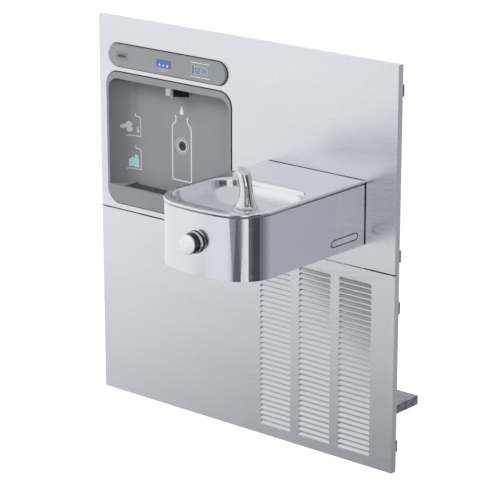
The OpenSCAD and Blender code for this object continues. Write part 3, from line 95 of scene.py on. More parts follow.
def startMaterial(name):
    # an empty material, its tree, and the Object coordinates that its patterns read
    made = bpy.data.materials.new(name)
    made.use_nodes = True
    made.node_tree.nodes.clear()
    tree = made.node_tree
    place = addNode(tree, "ShaderNodeTexCoord").outputs["Object"]
    return made, tree, place


def noiseAt(tree, place, grainMm, detail=3.0):
    # noise with grains of these sizes in mm along X, Y and Z
    scaled = addNode(tree, "ShaderNodeMapping", {"Vector": place, "Scale": [1000 / size for size in grainMm]})
    return addNode(tree, "ShaderNodeTexNoise", {"Vector": scaled, "Scale": 1.0, "Detail": detail})


def rangeOf(tree, value, low, high):
    # noise sits mostly between 0.3 and 0.7, so that part is spread from low to high
    return addNode(tree, "ShaderNodeMapRange", {0: value, 1: 0.3, 2: 0.7, 3: low, 4: high})


def toneOf(tree, value, darkCode, lightCode):
    # dark and light mixed by a pattern: all dark at 0.3 of it, all light at 0.7
    share = addNode(tree, "ShaderNodeMapRange", {0: value, 1: 0.3, 2: 0.7})
    return addNode(tree, "ShaderNodeMix", {0: share, 6: linearColour(darkCode), 7: linearColour(lightCode)},
                   data_type="RGBA").outputs[2]


def closeMaterial(tree, shader):
    # the shader goes to the output
    addNode(tree, "ShaderNodeOutputMaterial", {"Surface": shader})


def addShader(tree, inputs):
    # the surface of a finish, which goes to the output
    closeMaterial(tree, addNode(tree, "ShaderNodeBsdfPrincipled", inputs))


# grain of zinc, soft patches of mouldings and mottle of ink
zincGrainMm, skinCloudMm, mottleMm = 1.111, 111.1, 1.429


def brushedSteel(name, look):
    # stainless sheet: fine scratches drawn out along the brushing, and broad soft clouds
    made, tree, place = startMaterial(name)
    scratch = noiseAt(tree, place, look["scratchMm"], 4.0)
    cloud = noiseAt(tree, place, look["cloudMm"], 2.0)
    both = addNode(tree, "ShaderNodeMath", {0: scratch, 1: cloud}, operation="ADD")
    half = addNode(tree, "ShaderNodeMath", {0: both, 1: 0.5}, operation="MULTIPLY")
    bump = addNode(tree, "ShaderNodeBump", {"Height": scratch, "Strength": look["scratchStrength"],
                                            "Distance": 0.0001})
    addShader(tree, {
        "Base Color": toneOf(tree, half, look["dark"], look["light"]),
        "Metallic": 1.0,
        "Roughness": rangeOf(tree, scratch, look["roughness"] - 0.05, look["roughness"] + 0.06),
        "Normal": bump})
    return made


def polishedMetal(name, look):
    # plated or drawn metal: even colour, faint waviness and a few dull patches
    made, tree, place = startMaterial(name)
    wave = noiseAt(tree, place, [look["patchMm"]] * 3, 2.0)
    fine = noiseAt(tree, place, [look["fineMm"]] * 3, 3.0)
    bump = addNode(tree, "ShaderNodeBump", {"Height": fine, "Strength": look["bump"], "Distance": 0.0001})
    addShader(tree, {
        "Base Color": toneOf(tree, wave, look["dark"], look["light"]),
        "Metallic": 1.0,
        "Roughness": rangeOf(tree, wave, look["roughness"], look["roughness"] * 1.7),
        "Normal": bump})
    return made


def galvanisedSheet(name, look):
    # zinc spangle: cells of 8 to 11 mm with their own tone and dullness
    made, tree, place = startMaterial(name)
    cells = addNode(tree, "ShaderNodeTexVoronoi", {"Vector": place, "Scale": 1000 / look["cellMm"]})
    grey = addNode(tree, "ShaderNodeRGBToBW", {"Color": cells.outputs["Color"]})
    grain = noiseAt(tree, place, [zincGrainMm] * 3, 2.0)
    bump = addNode(tree, "ShaderNodeBump", {"Height": grain, "Strength": 0.12, "Distance": 0.0001})
    addShader(tree, {
        "Base Color": toneOf(tree, grey, look["dark"], look["light"]),
        "Metallic": 0.85,
        "Roughness": rangeOf(tree, grey, 0.42, 0.58),
        "Normal": bump})
    return made


def mouldedPlastic(name, look):
    # moulded or painted skin: fine spark-eroded grain and a slight change of tone
    made, tree, place = startMaterial(name)
    grain = noiseAt(tree, place, [look["grainMm"]] * 3, 3.0)
    cloud = noiseAt(tree, place, [skinCloudMm] * 3, 2.0)
    bump = addNode(tree, "ShaderNodeBump", {"Height": grain, "Strength": look["grainStrength"],
                                            "Distance": 0.0002})
    addShader(tree, {
        "Base Color": toneOf(tree, cloud, look["dark"], look["light"]),
        "Roughness": rangeOf(tree, grain, look["roughness"] - 0.04, look["roughness"] + 0.06),
        "Normal": bump,
        "Coat Weight": look.get("coat", 0.0),
        "Coat Roughness": 0.12})
    return made


def finStack(name, look):
    # aluminium fins given dark tones as painted shade, so the louvre gaps in front of them read dark: thin lines
    # across X between the fins that are modelled
    made, tree, place = startMaterial(name)
    lines = addNode(tree, "ShaderNodeTexWave", {"Vector": place, "Scale": 1000 / look["finMm"] / math.tau,
                                                "Distortion": 0.0}, bands_direction="X")
    addShader(tree, {
        "Base Color": toneOf(tree, lines, look["dark"], look["light"]),
        "Metallic": 0.9,
        "Roughness": rangeOf(tree, lines, 0.35, 0.5)})
    return made


def glowingInk(name, look):
    # printed mark: flat ink with a faint mottle, and a little light of its own, a painted glow
    made, tree, place = startMaterial(name)
    mottle = noiseAt(tree, place, [mottleMm] * 3, 2.0)
    tone = toneOf(tree, mottle, look["dark"], look["light"])
    addShader(tree, {"Base Color": tone, "Roughness": look["roughness"], "Emission Color": tone,
                     "Emission Strength": look.get("paintedGlow", 0.0)})
    return made


# patterns have sizes in mm; real scratches and grain are finer, and are drawn just coarse enough to show
sheetLooks = {
    "panelSteel": {"dark": "#dcdee4", "light": "#e4e6ec", "roughness": 0.3,
                   "scratchMm": [71.43, 71.43, 0.6667], "cloudMm": [400, 400, 111.1],
                   "scratchStrength": 0.06},
    "apronSteel": {"dark": "#dbdce3", "light": "#e3e4eb", "roughness": 0.17,
                   "scratchMm": [111.1, 111.1, 1.111], "cloudMm": [333.3, 333.3, 71.43],
                   "scratchStrength": 0.04},
    "basinSteel": {"dark": "#e1e4e9", "light": "#ebeef3", "roughness": 0.16,
                   "scratchMm": [62.5, 1.111, 62.5], "cloudMm": [111.1, 71.43, 111.1],
                   "scratchStrength": 0.04},
}
metalLooks = {
    "chromePlate": {"dark": "#d5d8dc", "light": "#e6e8eb", "roughness": 0.05, "patchMm": 16.67,
                    "fineMm": 1.111, "bump": 0.02},
    "buttonChrome": {"dark": "#e3e7ec", "light": "#f0f3f7", "roughness": 0.13, "patchMm": 16.67,
                     "fineMm": 1.111, "bump": 0.03},
    # dark chrome: painted dark reflection for the shaded side of the button cap
    "shadeChrome": {"dark": "#3a3c41", "light": "#484a50", "roughness": 0.12, "patchMm": 16.67,
                   "fineMm": 1.111, "bump": 0.03},
    "copperTube": {"dark": "#a9613d", "light": "#c98559", "roughness": 0.28, "patchMm": 22.22,
                   "fineMm": 1.429, "bump": 0.08},
    "machinedBrass": {"dark": "#b08d45", "light": "#cfae66", "roughness": 0.24, "patchMm": 11.11,
                      "fineMm": 0.6667, "bump": 0.08},
    "springSteel": {"dark": "#8b8e93", "light": "#aeb1b6", "roughness": 0.25, "patchMm": 5, "fineMm": 0.5,
                    "bump": 0.05},
}
skinLooks = {
    "alcoveGrey": {"dark": "#999ba2", "light": "#9fa1a8", "roughness": 0.44, "grainMm": 0.7143,
                   "grainStrength": 0.2},
    "bezelGrey": {"dark": "#9b9da2", "light": "#a1a3a8", "roughness": 0.4, "grainMm": 0.7143,
                  "grainStrength": 0.18},
    "grilleGrey": {"dark": "#4a4c52", "light": "#53565c", "roughness": 0.42, "grainMm": 0.7143,
                   "grainStrength": 0.18},
    "noseGrey": {"dark": "#bfc1c5", "light": "#c7c9cd", "roughness": 0.4, "grainMm": 0.7143,
                 "grainStrength": 0.15},
    "boxGrey": {"dark": "#aeb1b5", "light": "#bbbec2", "roughness": 0.5, "grainMm": 1.111,
                "grainStrength": 0.25},
    "blackPlastic": {"dark": "#121315", "light": "#1b1c1f", "roughness": 0.35, "grainMm": 0.8333,
                     "grainStrength": 0.2},
    "darkPlastic": {"dark": "#37393d", "light": "#43464b", "roughness": 0.45, "grainMm": 1,
                    "grainStrength": 0.25},
    "blackEnamel": {"dark": "#16171a", "light": "#212226", "roughness": 0.3, "grainMm": 2.857,
                    "grainStrength": 0.25, "coat": 0.5},
    "motorPaint": {"dark": "#4c4f54", "light": "#5c5f65", "roughness": 0.4, "grainMm": 2.222,
                   "grainStrength": 0.25},
    # black rubber; the same black also serves as painted shade in the seams round the strip, alcove and fountain
    "rubberAndShadeBlack": {"dark": "#1c1c1c", "light": "#262626", "roughness": 0.8, "grainMm": 1.25,
                    "grainStrength": 0.4},
    "hoseGrey": {"dark": "#5f6266", "light": "#6e7176", "roughness": 0.5, "grainMm": 1.429,
                 "grainStrength": 0.2},
    "drainWhite": {"dark": "#d3d4d5", "light": "#dfe0e1", "roughness": 0.35, "grainMm": 1.25,
                   "grainStrength": 0.12},
    "filterWhite": {"dark": "#e6e7e8", "light": "#f0f1f2", "roughness": 0.3, "grainMm": 1.111,
                    "grainStrength": 0.1, "coat": 0.3},
    "foamJacket": {"dark": "#c3beaf", "light": "#dcd8cb", "roughness": 0.85, "grainMm": 3.846,
                   "grainStrength": 0.6},
    "boardGreen": {"dark": "#1f5638", "light": "#2d6e49", "roughness": 0.3, "grainMm": 1.667,
                   "grainStrength": 0.2, "coat": 0.4},
    "coilBlue": {"dark": "#24365e", "light": "#30456f", "roughness": 0.4, "grainMm": 1.111,
                 "grainStrength": 0.2},
    "blueGlass": {"dark": "#345db0", "light": "#4169bd", "roughness": 0.16, "grainMm": 3.333,
                  "grainStrength": 0.02, "coat": 1.0},
    "lcdGlass": {"dark": "#98a8b6", "light": "#a5b5c2", "roughness": 0.2, "grainMm": 3.333,
                 "grainStrength": 0.02, "coat": 1.0},
    "lensGrey": {"dark": "#7d8085", "light": "#868a8f", "roughness": 0.2, "grainMm": 3.333,
                 "grainStrength": 0.03, "coat": 1.0},
}
inkLooks = {
    # the glow values are painted light that brightens the inks
    "whiteInk": {"dark": "#e4e6e8", "light": "#eeeff1", "roughness": 0.5, "paintedGlow": 0.12},
    "creamInk": {"dark": "#dcdeda", "light": "#e7e9e5", "roughness": 0.5, "paintedGlow": 0.05},
    "cyanInk": {"dark": "#b3dbe0", "light": "#c1e6ea", "roughness": 0.5, "paintedGlow": 0.1},
    "ringInk": {"dark": "#cfd1d6", "light": "#d8dade", "roughness": 0.5},
    "darkInk": {"dark": "#2e3036", "light": "#393b42", "roughness": 0.45},
    "displayInk": {"dark": "#54687a", "light": "#5f7385", "roughness": 0.4},
}

finishes = {}
for maker, looks in ((brushedSteel, sheetLooks), (polishedMetal, metalLooks), (mouldedPlastic, skinLooks),
                     (glowingInk, inkLooks)):
    finishes.update({name: maker(name, look) for name, look in looks.items()})
finishes["zincSheet"] = galvanisedSheet("zincSheet", {"cellMm": 8.333, "dark": "#8d9095", "light": "#b4b7bb"})
finishes["postZinc"] = galvanisedSheet("postZinc", {"cellMm": 11.11, "dark": "#7f8388", "light": "#a3a7ab"})
# the fin tones are dark as painted shade seen through the louvre gaps
finishes["shadeDarkFins"] = finStack("shadeDarkFins", {"finMm": 1.786, "dark": "#2f3135", "light": "#56595e"})
print("finishes made")


def linkObject(name, data):
    # an object in the scene
    made = bpy.data.objects.new(name, data)
    bpy.context.scene.collection.objects.link(made)
    return made


def meshPiece(name, points, faces, finish, smooth=True, body=station):
    # points and faces made an object with its finish, which rides on its body
    mesh = bpy.data.meshes.new(name)
    mesh.from_pydata(np.asarray(points, float).tolist(), [], [list(map(int, f)) for f in faces])
    mesh.validate()
    mesh.polygons.foreach_set("use_smooth", [smooth] * len(mesh.polygons))
    mesh.materials.append(finishes[finish])
    made = linkObject(name, mesh)
    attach(made, body)
    return made


def gridFaces(rows, cols, wrap):
    # quads of a grid with its points row by row; wrap joins the last column to the first
    row, col = np.meshgrid(np.arange(rows - 1), np.arange(cols if wrap else cols - 1), indexing="ij")
    nextCol = (col + 1) % cols
    return np.stack([row * cols + col, row * cols + nextCol, (row + 1) * cols + nextCol, (row + 1) * cols + col],
                    -1).reshape(-1, 4)


def turnedPiece(name, centre, axis, profile, finish, sides=96, body=station):
    # a profile of (radius, distance along the axis) carried round the axis "Y" or "Z":
    # radius times cosine and sine of the angle across the axis, and the distance along it
    profile = np.asarray(profile, float)
    turn = np.linspace(0, 2 * np.pi, sides, endpoint=False)
    ringA = profile[:, :1] * np.cos(turn)
    ringB = profile[:, :1] * np.sin(turn)
    along = np.repeat(profile[:, 1:], sides, 1)
    parts = [ringA, along, -ringB] if axis == "Y" else [ringA, ringB, along]
    points = np.stack(parts, -1).reshape(-1, 3) + np.asarray(centre, float)
    return meshPiece(name, points, gridFaces(len(profile), sides, True), finish, True, body)


def roundedEdge(centreR, centreAlong, radius, start, stop, steps=6):
    # a small arc in a turned profile: its centre plus radius times cosine and sine
    turn = np.radians(np.linspace(start, stop, steps))
    return [[centreR + radius * math.cos(t), centreAlong + radius * math.sin(t)] for t in turn]


def mendNormals(made, merge=1e-6, dissolve=0.0, outwards=True):
    # merges points that coincide, joins flat faces where asked, and turns all faces outwards
    work = bmesh.new()
    work.from_mesh(made.data)
    bmesh.ops.remove_doubles(work, verts=work.verts, dist=merge)
    if dissolve:
        bmesh.ops.dissolve_limit(work, angle_limit=math.radians(dissolve), verts=work.verts, edges=work.edges)
    if outwards:
        bmesh.ops.recalc_face_normals(work, faces=work.faces)
    work.to_mesh(made.data)
    work.free()


def sharpenBy(mesh, degrees):
    # smooth faces, with an edge sharp where its faces meet at more than the angle
    mesh.polygons.foreach_set("use_smooth", [True] * len(mesh.polygons))
    mesh.set_sharp_from_angle(angle=math.radians(degrees))


curveAngle = 32  # edges that meet at more than this stay sharp, or are rounded


def dressNode(node, finish, bevel=0.0, rides=True):
    # a merged copy of a CAD node with smooth curves and, where asked, rounded edges
    body = frame["nodes"][node]["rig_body"]
    mesh = frame["nodes"][node].data.copy()
    made = linkObject(node + "_dressed", mesh)
    made.data.materials.clear()
    made.data.materials.append(finishes[finish])
    mendNormals(made, 2e-6, 0.5 if bevel else 0.0, False)
    sharpenBy(made.data, curveAngle)
    if bevel:
        round_ = made.modifiers.new("edges", "BEVEL")
        round_.width = bevel
        round_.segments = 2
        round_.limit_method = "ANGLE"
        round_.angle_limit = math.radians(curveAngle)
        round_.use_clamp_overlap = True
    flat = made.modifiers.new("flat faces", "WEIGHTED_NORMAL")
    flat.keep_sharp = True
    if rides:
        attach(made, body)
    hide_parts(node)
    return made


# nodes that keep their CAD shape: finish, and width of their rounded edges
dressed = {
    "upper_panel": ("panelSteel", 0.0008), "lower_panel": ("panelSteel", 0.0),
    "alcove_housing": ("alcoveGrey", 0.0012), "drip_grille": ("grilleGrey", 0.0005),
    "strip_bezel": ("bezelGrey", 0.0006), "nozzle_shroud": ("noseGrey", 0.0012),
    "nozzle_body": ("blackPlastic", 0.0008), "nozzle_insert": ("chromePlate", 0.0),
    "status_window": ("blueGlass", 0.0003), "display_window": ("lcdGlass", 0.0003),
    "strip_sensor_lens": ("lensGrey", 0.0003), "bottle_sensor": ("blackPlastic", 0.0),
    "apron": ("apronSteel", 0.0), "bottom_cover": ("apronSteel", 0.0), "side_badge": ("chromePlate", 0.0004),
    "cover_screws": ("chromePlate", 0.0), "tray_spout": ("darkPlastic", 0.0),
    "control_box": ("boxGrey", 0.0008), "control_board": ("boardGreen", 0.0),
    "bubbler_nut": ("machinedBrass", 0.0004), "drain_strainer": ("chromePlate", 0.0004),
    "drain_tailpiece": ("chromePlate", 0.0), "drain_line": ("drainWhite", 0.0),
    "push_button_nut": ("machinedBrass", 0.0005),
    "push_button_valve": ("machinedBrass", 0.0), "fountain_bracket": ("zincSheet", 0.0006),
    "post_left": ("postZinc", 0.0006), "post_right": ("postZinc", 0.0006), "frame_rails": ("postZinc", 0.0006),
    "fountain_rails": ("postZinc", 0.0006), "panel_hangers": ("zincSheet", 0.0005),
    "bracket_bolts": ("zincSheet", 0.0004), "alcove_clips": ("zincSheet", 0.0005),
    "chiller_shelf": ("zincSheet", 0.0006), "condenser": ("shadeDarkFins", 0.0), "fan_shroud": ("zincSheet", 0.0006),
    "fan": ("darkPlastic", 0.0), "fan_motor": ("motorPaint", 0.0008), "compressor": ("blackEnamel", 0.0),
    "compressor_feet": ("rubberAndShadeBlack", 0.0008), "cooling_tank": ("foamJacket", 0.0),
    "filter_drier": ("copperTube", 0.0), "thermostat_box": ("darkPlastic", 0.001),
    "thermostat_dial": ("filterWhite", 0.0006), "junction_box": ("zincSheet", 0.0008),
    "filter_head": ("filterWhite", 0.0015), "filter_cartridge": ("filterWhite", 0.003),
    "filler_solenoid": ("coilBlue", 0.0012), "inlet_tube": ("copperTube", 0.0), "filtered_tube": ("copperTube", 0.0),
    "chilled_tubes": ("copperTube", 0.0), "bubbler_tube": ("copperTube", 0.0), "filler_tubes": ("copperTube", 0.0),
    "tray_hose": ("hoseGrey", 0.0), "refrigerant_tubes": ("copperTube", 0.0),
}
for node, (finish, bevel) in dressed.items():
    dressNode(node, finish, bevel)

# the real spring shortens as the cap goes in; here it rides on no body, and its points are put in world place
spring = dressNode("push_button_spring", "springSteel", rides=False)
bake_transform(spring)
print("nodes dressed")


basinLow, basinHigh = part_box("basin")
strainerLow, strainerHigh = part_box("drain_strainer")
basin = {
    "top": basinHigh.z, "edgeDrop": 0.009, "sheet": 0.0015,
    "middleX": (basinLow.x + basinHigh.x) / 2, "halfWidth": (basinHigh.x - basinLow.x) / 2,
    "back": basinHigh.y, "front": basinLow.y, "cornerR": 0.0915, "bowR": 0.4515,
    "bowlHalfW": 0.136, "bowlHalfL": 0.121, "bowlR": 0.070, "bowlFront": 0.0345,
    "bowlDepth": 0.062, "drainR": 0.021, "drainY": (strainerLow.y + strainerHigh.y) / 2,
    "edgeR": 0.0022, "lipR": 0.007, "lipTurn": 62, "deckShares": (0.35, 0.7), "rays": 288,
    "bowlStart": 14, "bowlPower": 1.2,
}


def convexReach(outline, centre, turns):
    # how far a ray from the centre goes before it leaves a convex outline, for each angle: the least,
    # over the sides, of the distance to the side over the ray's share along its normal
    nextPoint = np.roll(outline, -1, 0)
    side = nextPoint - outline
    normal = np.stack([side[:, 1], -side[:, 0]], -1)
    normal /= np.linalg.norm(normal, axis=1, keepdims=True) + 1e-12
    gap = ((outline - centre) * normal).sum(1)
    sign = np.sign(gap.mean())
    aim = np.stack([np.cos(turns), np.sin(turns)], -1) @ (normal * sign).T
    reach = np.where(aim > 1e-6, (gap * sign)[None, :] / np.maximum(aim, 1e-6), np.inf)
    return reach.min(1)


def arcPoints(centreX, centreY, radius, start, stop, steps):
    # centre plus radius times cosine and sine, for even steps of the angle in degrees
    turn = np.radians(np.linspace(start, stop, steps))
    return np.stack([centreX + radius * np.cos(turn), centreY + radius * np.sin(turn)], -1)


def fountainOutline(look):
    # straight sides, round front corners and a bowed front, as the apron under it
    half, cornerR, bowR = look["halfWidth"], look["cornerR"], look["bowR"]
    bowY = look["front"] + bowR
    cornerX = half - cornerR
    cornerY = bowY - math.sqrt((bowR - cornerR) ** 2 - cornerX ** 2)
    turn = math.degrees(math.atan2(bowY - cornerY, cornerX))
    middle = look["middleX"]
    return np.concatenate([
        [[middle + half, look["back"]]],
        arcPoints(middle + cornerX, cornerY, cornerR, 0, -turn, 40),
        arcPoints(middle, bowY, bowR, -turn, turn - 180, 60)[1:-1],
        arcPoints(middle - cornerX, cornerY, cornerR, turn - 180, -180, 40),
        [[middle - half, look["back"]]]])


def roundedBox(middle, half, cornerR, grow, steps):
    # rectangle with a quarter circle at each corner; grow widens the circles alone
    return np.concatenate([arcPoints(middle[0] + sx * (half[0] - cornerR), middle[1] + sy * (half[1] - cornerR),
                                     cornerR + grow, start, start + 90, steps)
                           for sx, sy, start in ((1, 1, 0), (-1, 1, 90), (-1, -1, 180), (1, -1, 270))])


def makeBasin(look):
    # rows from the lower edge of the deck's flange, over the deck and the lip, down the bowl to the drain
    centre = np.array([look["middleX"], look["drainY"]])
    outline = fountainOutline(look)
    corners = np.array([outline[0], outline[-1]]) - centre
    turns = np.sort(np.concatenate([np.linspace(0, 2 * np.pi, look["rays"], endpoint=False),
                                    np.arctan2(corners[:, 1], corners[:, 0]) % (2 * np.pi)]))
    outer = convexReach(outline, centre, turns)
    bowlMiddle = (look["middleX"], look["front"] + look["bowlFront"] + look["bowlHalfL"])
    bowl = roundedBox(bowlMiddle, (look["bowlHalfW"], look["bowlHalfL"]), look["bowlR"], 0.0, 40)
    inner = convexReach(bowl, centre, turns)
    top, lip = look["top"], look["lipR"]
    rows = [(outer, top - look["edgeDrop"])]
    for step in np.radians(np.linspace(0, 90, 6)):
        rows.append((outer - look["edgeR"] * (1 - math.cos(step)), top - look["edgeR"] * (1 - math.sin(step))))
    for share in look["deckShares"]:
        rows.append((outer + (inner + lip - outer) * share, top))
    for step in np.radians(np.linspace(0, look["lipTurn"], 8)):
        rows.append((inner + lip - lip * math.sin(step), top - lip * (1 - math.cos(step))))
    # the bowl: at angle a it is the root of cos(a) of the way out from the drain, and depth * sin(a) ** power down
    for step in np.radians(np.linspace(look["bowlStart"], 90, 40)):
        out = math.sqrt(max(0.0, math.cos(step)))
        drop = look["bowlDepth"] * math.sin(step) ** look["bowlPower"]
        rows.append((look["drainR"] + (inner - look["drainR"]) * out, top - drop))
    reach = np.array([np.broadcast_to(r, turns.shape) for r, z in rows])
    height = np.array([z for r, z in rows])
    points = np.stack([centre[0] + reach * np.cos(turns), centre[1] + reach * np.sin(turns),
                       np.repeat(height[:, None], len(turns), 1)], -1).reshape(-1, 3)
    made = meshPiece("basinSheet", points, gridFaces(len(rows), len(turns), True), "basinSteel")
    mendNormals(made)
    sheet = made.modifiers.new("sheet", "SOLIDIFY")
    sheet.thickness = look["sheet"]
    sheet.offset = -1.0
    sharpenBy(made.data, 50)
    return made


basinSheet = makeBasin(basin)
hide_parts("basin")

pad = {"x": 0.325, "y": -0.378, "r": 0.029, "boreR": 0.0105, "top": basin["top"] - 0.002,
       "low": basin["top"] - 0.060, "edge": 0.004, "wallStart": 0.02}
padFlatR = pad["r"] - pad["edge"]
padProfile = ([[pad["boreR"], pad["top"]], [padFlatR, pad["top"]]]
              + roundedEdge(padFlatR, pad["top"] - pad["edge"], pad["edge"], 80, 0)
              + [[pad["r"], pad["top"] - pad["wallStart"]], [pad["r"], pad["low"]], [pad["boreR"], pad["low"]]])
bubblerPad = turnedPiece("bubblerPad", [pad["x"], pad["y"], 0.0], "Z", padProfile[::-1], "basinSteel")
sharpenBy(bubblerPad.data, 40)
print("basin made")


bubbler = {"base": [pad["x"], pad["y"], pad["top"]], "height": 0.092, "lift": 0.003, "baseR": 0.027,
           "neckR": 0.017, "tipR": 0.0162, "waist": 0.25, "leanX": 0.019, "leanY": 0.004, "dome": 0.82,
           "slitTurn": -45.0, "slitHalf": 5.5, "slitLow": 0.08, "slitHigh": 0.52, "slitDepth": 0.55,
           "flare": 1.6, "flareTop": 0.3, "sideStep": 1.6, "lowStep": 90, "highStep": 60,
           "rows": 70, "sides": 200}


def makeBubbler(look):
    # radius along the height share t: a flared foot, a waist and a round top, leaning by t cubed;
    # a groove is pressed in around one angle, with logistic steps for edges
    t = np.linspace(0, 1, look["rows"])[:, None]
    turn = np.linspace(0, 2 * np.pi, look["sides"], endpoint=False)[None, :]
    neck, tip = look["neckR"], look["tipR"]
    radius = (neck + (tip - neck) * t + (look["baseR"] - neck) * (1 - t) ** 4
              - neck * look["waist"] * np.sin(np.pi * t) * (1 - t))
    over = np.clip((t - look["dome"]) / (1 - look["dome"]), 0, 1)
    radius = radius * np.sqrt(np.maximum(1e-4, np.cos(over * np.pi / 2)))
    away = np.abs((np.degrees(turn) - look["slitTurn"] + 180) % 360 - 180)
    width = look["slitHalf"] * (1 + look["flare"] * np.clip((look["flareTop"] - t) / look["flareTop"], 0, 1))
    inSlit = 1 / (1 + np.exp((away - width) * look["sideStep"]))
    overLow = 1 + np.exp((look["slitLow"] - t) * look["lowStep"])
    inHeight = 1 / overLow / (1 + np.exp((t - look["slitHigh"]) * look["highStep"]))
    radius = radius * (1 - look["slitDepth"] * inSlit * inHeight)
    points = np.stack([radius * np.cos(turn) - look["leanX"] * t ** 3, radius * np.sin(turn) + look["leanY"] * t ** 3,
                       look["lift"] + look["height"] * t + 0 * turn], -1).reshape(-1, 3)
    made = meshPiece("bubblerHood", points + np.array(look["base"]), gridFaces(look["rows"], look["sides"], True),
                     "chromePlate")
    mendNormals(made)
    return made


bubblerHood = makeBubbler(bubbler)
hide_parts("bubbler")
foot = {"r": 0.0270, "edgeR": 0.0260, "edgeZ": 0.0045, "edge": 0.0015, "slopeR": 0.0225, "slopeZ": 0.0062,
        "top": 0.0075}
footProfile = ([[0.0, 0.0], [foot["r"], 0.0]] + roundedEdge(foot["edgeR"], foot["edgeZ"], foot["edge"], 0, 80)
               + [[foot["slopeR"], foot["slopeZ"]], [0.0, foot["top"]]])
turnedPiece("bubblerFoot", bubbler["base"], "Z", footProfile, "chromePlate")
shank = {"boreR": 0.005, "r": 0.010, "low": -0.072, "top": 0.001}
shankProfile = [[shank["boreR"], shank["low"]], [shank["r"], shank["low"]], [shank["r"], shank["top"]],
                [shank["boreR"], shank["top"]]]
turnedPiece("bubblerShank", bubbler["base"], "Z", shankProfile, "machinedBrass", 48)
print("bubbler made")


capLow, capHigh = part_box("push_button_cap")
collarLow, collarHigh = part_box("push_button_collar")
button = {"x": (capLow.x + capHigh.x) / 2, "z": (capLow.z + capHigh.z) / 2, "r": (capHigh.x - capLow.x) / 2,
          "front": capLow.y + 0.0003, "rear": capLow.y + 0.0204, "edge": 0.0022, "wall": 0.0065, "stemR": 0.005,
          "dome": 0.0003, "plate": 0.0019, "gap": 0.0010, "collarR": (collarHigh.x - collarLow.x) / 2 + 0.0008,
          "collarFront": collarLow.y + 0.0045, "collarRear": collarLow.y + 0.0142, "lip": 0.001, "lipIn": 0.0006,
          "floor": 0.003, "tubeR": 0.015, "boreR": 0.0051,
          "shadeBand": {"out": 0.0003, "in": 0.0010, "start": 0.0010, "end": 0.0005},
          "seal": {"out": 0.0007, "in": 0.0020, "start": 0.0022, "end": 0.0010}}


def turnedButton(look, name, profile, finish, body=station):
    # a profile turned about the axis of the button
    made = turnedPiece(name, [look["x"], 0, look["z"]], "Y", profile, finish, 120, body)
    mendNormals(made)
    sharpenBy(made.data, 40)
    return made


def makeButton(look):
    # cap: a slightly domed face, a round edge, the wall, and the cup with the stem behind it
    front, rear, r, edge = look["front"], look["rear"], look["r"], look["edge"]
    face = [[(r - edge) * share, front + look["dome"] * share ** 2] for share in np.linspace(0, 0.95, 9)]
    corner = [[r - edge + edge * math.sin(t), front + look["dome"] + edge * (1 - math.cos(t))]
              for t in np.radians(np.linspace(0, 90, 8))]
    inside = front + look["plate"]
    cup = [[r, rear], [r - look["wall"], rear], [r - look["wall"], inside], [look["stemR"], inside],
           [look["stemR"], capHigh.y], [0.0, capHigh.y]]
    cap = turnedButton(look, "buttonCap", face + corner + cup, "buttonChrome", "push_button")
    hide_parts("push_button_cap")
    # collar: a round lip, the outer wall, and the tube behind its floor
    outer, inner, start, lip = look["collarR"], r + look["gap"], look["collarFront"], look["lip"]
    end, floor = look["collarRear"], look["collarRear"] - look["floor"]
    ring = ([[inner, floor], [inner, start + lip], [inner + look["lipIn"], start]]
            + [[outer - lip + lip * math.sin(t), start + lip * (1 - math.cos(t))]
               for t in np.radians(np.linspace(0, 90, 5))]
            + [[outer, end], [look["tubeR"], end], [look["tubeR"], collarHigh.y],
               [look["boreR"], collarHigh.y], [look["boreR"], floor]])
    collar = turnedButton(look, "buttonCollar", ring + ring[:1], "chromePlate")
    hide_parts("push_button_collar")
    # dark band round the wall of the cap, a painted dark reflection standing for the shaded side of the chrome cap,
    # and the seal under the collar
    shadeBand, seal = look["shadeBand"], look["seal"]
    for name, outerR, innerR, fromY, toY, finish, body in (
            ("buttonShadeBand", r + shadeBand["out"], r - shadeBand["in"], front + edge + shadeBand["start"],
             rear - shadeBand["end"], "shadeChrome", "push_button"),
            ("buttonSeal", outer + seal["out"], outer - seal["in"], end - seal["start"], end + seal["end"],
             "rubberAndShadeBlack", station)):
        band = [[innerR, fromY], [outerR, fromY], [outerR, toY], [innerR, toY], [innerR, fromY]]
        turnedButton(look, name, band, finish, body)


makeButton(button)
print("button made")


def flatRibbon(points, width, closed):
    # both edges of a line of even width, with mitred corners, in a flat plane
    points = np.asarray(points, float)
    before = np.roll(points, 1, 0) if closed else np.vstack([points[:1], points[:-1]])
    after = np.roll(points, -1, 0) if closed else np.vstack([points[1:], points[-1:]])

    def unit(v):
        size = np.linalg.norm(v, axis=1, keepdims=True)
        return v / np.where(size < 1e-9, 1, size)

    goIn, goOut = unit(points - before), unit(after - points)
    if not closed:
        goIn[0], goOut[-1] = goOut[0], goIn[-1]
    aim = unit(goIn + goOut)
    across = np.stack([-aim[:, 1], aim[:, 0]], -1)
    stretch = 1 / np.clip((across * np.stack([-goIn[:, 1], goIn[:, 0]], -1)).sum(1), 0.45, 1)
    offset = across * (width / 2 * stretch)[:, None]
    return points + offset, points - offset


def tubeFaces(n, closed):
    # quads along rings of four points at n places, and the two end faces where it is open
    i, k = np.arange(n if closed else n - 1)[:, None], np.arange(4)[None, :]
    nextI, nextK = (i + 1) % n, (k + 1) % 4
    faces = np.stack([i * 4 + k, nextI * 4 + k, nextI * 4 + nextK, i * 4 + nextK], -1).reshape(-1, 4).tolist()
    return faces if closed else faces + [[0, 1, 2, 3], [(n - 1) * 4 + k for k in (3, 2, 1, 0)]]


alcoveLow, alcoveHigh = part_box("alcove_housing")
alcove = {"sideX": -0.451, "cornerR": 0.045, "wallY": 0.0370, "strokeStep": 0.004, "fillStep": 0.002}


